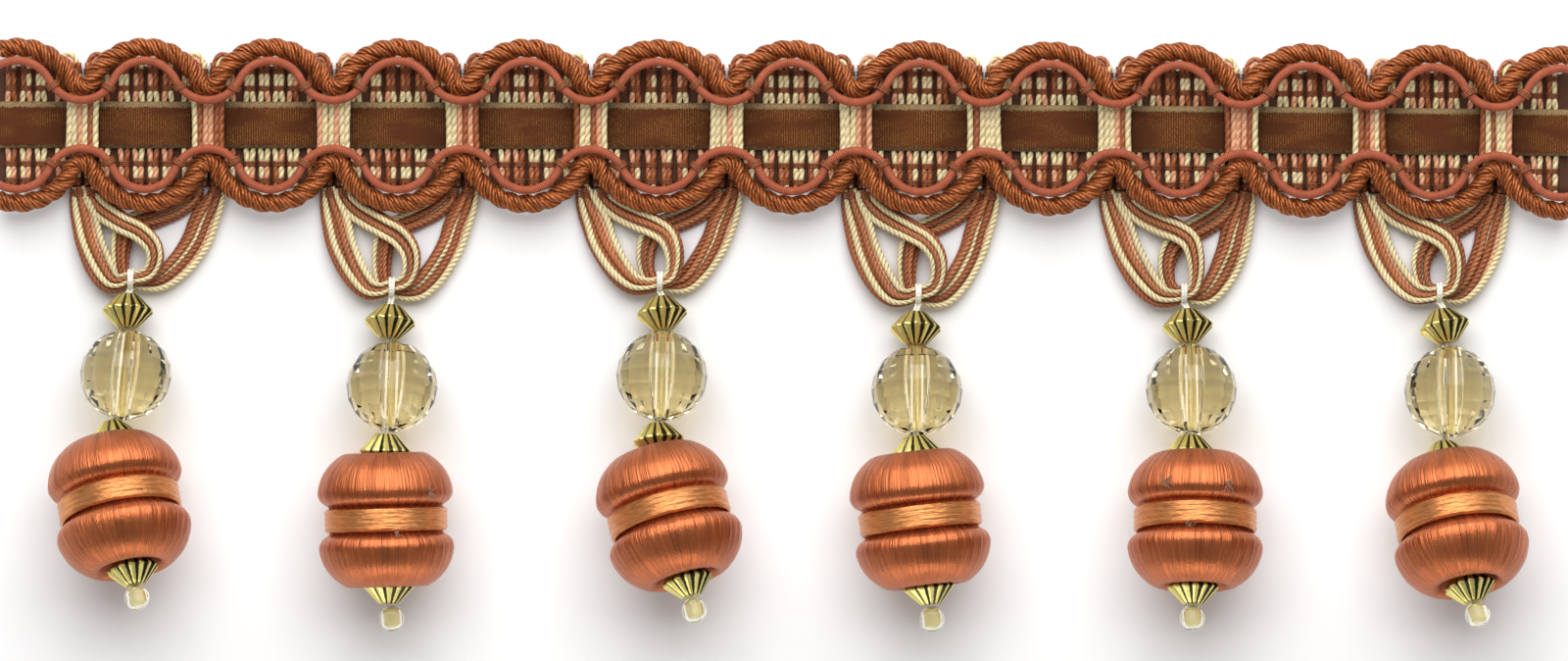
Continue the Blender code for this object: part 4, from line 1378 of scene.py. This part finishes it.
@dataclass(frozen=True)
class Spool:
    """Outline of the floss-wound bead: two bulges, a waist and a recess at each end."""

    rows: tuple[tuple[float, float], ...] = (
        (11.1, 0.0), (11.1, 2.3), (11.5, 2.9), (12.5, 3.6), (13.15, 4.7), (13.25, 5.9),
        (12.8, 7.7), (11.9, 9.6), (10.4, 11.4), (8.4, 12.9), (7.0, 13.2), (6.1, 12.7),
        (5.4, 11.8), (4.5, 10.7), (3.6, 9.5), (2.0, 9.3), (0.5, 9.3),
    )

    def profile(self) -> np.ndarray:
        """Smooth profile from one end to the other.

        Returns:
            Radius and height rows in metres.
        """
        half = hermite(np.array(self.rows) * MM, 2)
        lower = half[::-1] * np.array([1.0, -1.0])
        return np.concatenate([lower[:-1], half])

    def height(self, tilt: float) -> float:
        """Height of its middle when the upper bulge rests on the surface.

        Args:
            tilt: Tilt in degrees.

        Returns:
            Height in metres.
        """
        lean = math.radians(tilt)
        rings = ((11.0, 2.8), (13.25, 5.9), (11.4, 10.3), (6.6, 13.2), (3.6, 9.4))
        return max(r * math.cos(lean) + s * math.sin(lean) for r, s in rings) * MM


@dataclass(frozen=True)
class Beads:
    """All beads of one drop."""

    number: int
    drop: Drop

    @staticmethod
    def axis(turn: float, tilt: float) -> Vector:
        """Direction of a string from its top to its low end.

        Args:
            turn: Turn in plan, in degrees.
            tilt: Rise of the low end, in degrees.

        Returns:
            The unit direction.
        """
        a, t = math.radians(turn), math.radians(tilt)
        return Vector((math.sin(a) * math.cos(t), -math.cos(a) * math.cos(t), math.sin(t)))

    def build(self) -> None:
        """Adds the beads from the top of the string to its end."""
        drop = self.drop
        n = self.number
        slope = math.tan(math.radians(drop.tilt))
        middle = Spool().height(drop.tilt)

        def rise(seat: Seat, sign: float) -> float:
            """Height of a bead on the tilted string.

            Args:
                seat: The bead's place.
                sign: -1.0 above the spool, 1.0 below it.

            Returns:
                Height in metres.
            """
            reach = math.hypot(seat.x - drop.spool.x, seat.y - drop.spool.y) * MM
            return middle + sign * reach * slope

        top = Vector((drop.top.x * MM, drop.top.y * MM, 5.6 * MM))
        mid = Vector((drop.mid.x * MM, drop.mid.y * MM, rise(drop.mid, -1.0)))
        crystal = (drop.crystal.x * MM, drop.crystal.y * MM, 9.0 * MM)
        centre = (drop.spool.x * MM, drop.spool.y * MM, middle)
        low = (drop.low.x * MM, drop.low.y * MM, rise(drop.low, 1.0))
        end = (drop.end.x * MM, drop.end.y * MM, rise(drop.end, 1.0))
        self.bicone(f"bicone_top_{n}", placing(top, self.axis(drop.top.turn, 16.0)))
        self.bicone(f"bicone_mid_{n}", placing(mid, self.axis(drop.mid.turn, drop.tilt)))
        self.bicone(f"bicone_low_{n}", placing(low, self.axis(drop.low.turn, drop.tilt)))
        self.crystal(placing(crystal, mid - top))
        self.string(top, mid)
        place = placing(centre, self.axis(drop.spool.turn, drop.tilt))
        self.spool(place)
        self.end_bead(placing(end, self.axis(drop.end.turn, drop.tilt)))

    def bicone(self, node: str, place: np.ndarray) -> None:
        """Adds one fluted bead.

        Args:
            node: The CAD node that it stands for.
            place: Placing matrix.
        """
        bag = MeshBag()
        turned(bag, hermite(bicone_profile(), 2), 84, place, shape=flutes)
        finish_piece(bag.build(f"{node}_fluted", GOLD), GOLD, node)

    def string(self, top: Vector, mid: Vector) -> None:
        """Adds the thread through the ball, between its two fluted neighbours.

        Args:
            top: Middle of the upper fluted bead.
            mid: Middle of the lower fluted bead.
        """
        bag = MeshBag()
        share = np.linspace(0.12, 0.88, 16)[:, None]
        path = np.array(top) * (1 - share) + np.array(mid) * share
        for shift in (-0.3 * MM, 0.3 * MM):
            Cord(0.3 * MM, plies=2, lay=1.6 * MM, sides=6).along(
                bag, path + np.array([shift, 0.0, 0.0]), np.ones(3)
            )
        finish_piece(bag.build(f"bead_thread_{self.number}", THREAD), THREAD)

    def crystal(self, place: np.ndarray) -> None:
        """Adds the faceted ball with its bore.

        Args:
            place: Placing matrix.
        """
        bag = MeshBag()
        flat_end = math.radians(14.0)
        polar = np.linspace(flat_end, math.pi - flat_end, 9)
        outer = np.column_stack([9.0 * np.sin(polar), -9.0 * np.cos(polar)])
        end = -outer[0, 1]
        inner = np.array([(1.35, end), (1.35, -end)])
        ring = np.concatenate([outer, inner, outer[:1]]) * MM
        sides = 14
        angle = np.linspace(0.0, TAU, sides + 1)
        world = spun(ring, angle[:-1], place, np.ones(sides))[:-1].transpose(1, 0, 2)
        loop = np.concatenate([world, world[:1]])
        uv = np.zeros((loop.shape[0], loop.shape[1] + 1, 2))
        bag.add_grid(loop, uv, np.ones(3), caps=False)
        item = bag.build(f"crystal_{self.number}_cut", CRYSTAL, smooth=False)
        weld(item)
        finish_piece(item, CRYSTAL, f"crystal_{self.number}")

    def spool(self, place: np.ndarray) -> None:
        """Adds the wound bead and the band round its waist.

        Args:
            place: Placing matrix.
        """
        bag = MeshBag()

        def ridges(angle: np.ndarray, share: np.ndarray) -> np.ndarray:
            """Fine ridges of the wound floss.

            Args:
                angle: Angle round the bead.
                share: Share of the profile.

            Returns:
                Radius factor.
            """
            bulge = np.sin(math.pi * share) ** 0.3
            return 1.0 + bulge * (0.004 * np.sin(37 * angle) + 0.003 * np.sin(61 * angle + 1.0))

        turned(bag, Spool().profile(), 160, place, shape=ridges)
        item = bag.build(f"spool_{self.number}_floss", FLOSS)
        finish_piece(item, FLOSS, f"spool_{self.number}")
        tufts = [tuft for tuft in TUFTS if tuft.drop == self.number]
        if tufts:
            self.tufts(place, tufts)
        bag = MeshBag()
        s = np.linspace(-1.0, 1.0, 24)
        wraps = 12.0 + 0.12 * np.abs(np.sin(s * 7.0)) - 0.5 * np.clip(np.abs(s) - 0.85, 0, 1) * 5
        outer = np.column_stack([wraps, 2.3 * s])
        inner = np.array([(11.3, 2.2), (11.3, -2.2)])
        ring = np.concatenate([outer, inner]) * MM
        angle = np.linspace(0.0, TAU, 97)
        world = spun(ring, angle, place, np.ones(97)).transpose(1, 0, 2)
        run = np.append(ring[:, 1], ring[0, 1]) / MM
        uv = np.stack(np.broadcast_arrays(angle[:, None] / TAU, run[None]), axis=-1)
        bag.add_grid(world, uv, np.ones(3), caps=False)
        item = bag.build(f"waist_band_{self.number}_floss", BAND)
        weld(item)
        finish_piece(item, BAND, f"waist_band_{self.number}")

    def tufts(self, place: np.ndarray, tufts: list[Tuft]) -> None:
        """Adds the broken threads that stand off the spool.

        Args:
            place: Placing matrix of the spool.
            tufts: Where they stand.
        """
        rng = np.random.default_rng(90 + self.number)
        outline = Spool().profile() / MM
        order = np.argsort(outline[:, 1], kind="stable")
        up = place[:3, :3].T @ np.array([0.0, 0.0, 1.0])
        top = math.atan2(up[1], up[0])
        share = np.linspace(0.0, 1.0, 9)
        bag = MeshBag()
        for tuft in tufts:
            radius = float(np.interp(abs(tuft.along), outline[order, 1], outline[order, 0]))
            for _ in range(14):
                angle = top + math.radians(tuft.turn) + rng.normal(0.0, 0.03)
                reach = rng.uniform(0.8, 2.4)
                bend = rng.uniform(-0.16, 0.16) * reach
                lift = 0.15 + 0.5 * rng.uniform() * np.sin(math.pi * share)
                around = angle + bend * share / 3.0 + 0.02 * np.sin(6.0 * share)
                local = np.stack([
                    (radius + lift) * np.cos(around),
                    (radius + lift) * np.sin(around),
                    tuft.along + rng.normal(0.0, 0.25) + rng.choice((-0.6, 0.8)) * reach * share,
                ], axis=1) * MM
                path = placed(local, place)
                Cord(0.075 * MM, plies=1, depth=0.0, sides=4).along(
                    bag, path, np.array(Yarn.PEACH.value) * rng.uniform(0.45, 0.9)
                )
        finish_piece(bag.build(f"tufts_{self.number}", STITCH), STITCH)

    def end_bead(self, place: np.ndarray) -> None:
        """Adds the last small bead and the thread that turns round it.

        Args:
            place: Placing matrix.
        """
        bag = MeshBag()
        t = np.linspace(-1.0, 1.0, 17)
        radius = 2.1 * (1.0 - 0.55 * np.abs(t) ** 5)
        profile = np.column_stack([radius, 2.2 * t])
        profile = np.concatenate([[(0.3, -1.9)], profile, [(0.3, 1.9)]]) * MM
        turned(bag, profile, 32, place)
        finish_piece(bag.build(f"end_bead_{self.number}_oval", PALE), PALE, f"end_bead_{self.number}")
        arc = np.linspace(-0.48 * math.pi, 1.48 * math.pi, 28)
        local = np.stack([2.3 * np.cos(arc), 0.5 * np.sin(2 * arc), 2.45 * np.sin(arc)], 1) * MM
        path = placed(local, place)
        bag = MeshBag()
        normal = place[:3, :3] @ np.array([0.0, 1.0, 0.0])
        Cord(0.2 * MM, plies=2, lay=1.1 * MM, sides=6).along(bag, path, np.ones(3), normal)
        finish_piece(bag.build(f"end_thread_{self.number}", THREAD), THREAD)


def weld(item: bpy.types.Object) -> None:
    """Joins the doubled first and last rows of a closed ring.

    Args:
        item: The object.
    """
    work = bmesh.new()
    work.from_mesh(item.data)
    bmesh.ops.remove_doubles(work, verts=work.verts, dist=1e-6)
    bmesh.ops.recalc_face_normals(work, faces=work.faces)
    work.to_mesh(item.data)
    work.free()


# Studio


@dataclass(frozen=True)
class Studio:
    """Pale floor, soft light from above the heading, and the camera straight above."""

    distance: float = 2.2
    width: float = 0.3104
    centre_y: float = -40.16 * MM

    def light(
        self, name: str, place: Sequence[float], size: tuple[float, float], power: float
    ) -> None:
        """Adds one soft box aimed at the trim.

        Args:
            name: Light name.
            place: Where it stands.
            size: Width and height in metres.
            power: Power in watts.
        """
        data = bpy.data.lights.new(name, "AREA")
        data.shape = "RECTANGLE"
        data.size = size[0]
        data.size_y = size[1]
        data.energy = power
        item = bpy.data.objects.new(name, data)
        item.location = place
        aim = Vector((0.0, self.centre_y, 0.0)) - Vector(place)
        item.rotation_euler = aim.to_track_quat("-Z", "Y").to_euler()
        bpy.context.scene.collection.objects.link(item)

    def build(self) -> None:
        """Adds floor, lights, world and camera."""
        mesh = bpy.data.meshes.new("floor")
        side = 3.0
        corners = [(-side, -side, 0.0), (side, -side, 0.0), (side, side, 0.0), (-side, side, 0.0)]
        mesh.from_pydata(corners, [], [(0, 1, 2, 3)])
        paint = bpy.data.materials.new("floor")
        paint.use_nodes = True
        shader = paint.node_tree.nodes["Principled BSDF"]
        shader.inputs["Base Color"].default_value = (0.92, 0.92, 0.92, 1.0)
        shader.inputs["Roughness"].default_value = 0.9
        mesh.materials.append(paint)
        floor = bpy.data.objects.new("floor", mesh)
        bpy.context.scene.collection.objects.link(floor)
        self.light("key", (0.0, 0.74, 0.82), (1.5, 1.3), 23.0)
        self.light("fill", (0.0, -1.2, 0.40), (1.6, 0.4), 6.0)
        world = bpy.data.worlds.new("studio")
        world.use_nodes = True
        world.node_tree.nodes["Background"].inputs["Color"].default_value = (1.0, 1.0, 1.0, 1.0)
        world.node_tree.nodes["Background"].inputs["Strength"].default_value = 0.26
        bpy.context.scene.world = world
        camera = bpy.data.cameras.new("camera")
        camera.sensor_width = 36.0
        camera.lens = 36.0 * self.distance / self.width
        camera.clip_end = 10.0
        item = bpy.data.objects.new("camera", camera)
        item.location = (0.0, self.centre_y, self.distance)
        bpy.context.scene.collection.objects.link(item)
        bpy.context.scene.camera = item
        bpy.context.scene.view_settings.view_transform = "Standard"


def main() -> None:
    """Builds every piece of the trim over the frame, then the studio."""
    logging.basicConfig(level=logging.INFO, format="%(name)s: %(message)s")
    RopePair(Way.UPPER, 15.3 * MM, 7.5 * MM).build()
    RopePair(Way.LOWER, 15.5 * MM, 7.4 * MM).build()
    Heading().build()
    LOG.info("heading built")
    for number, drop in enumerate(DROPS, start=1):
        Hanks(number, drop).build()
        Beads(number, drop).build()
    LOG.info("drops built: %d", len(DROPS))
    Studio().build()


if __name__ == "__main__":
    main()
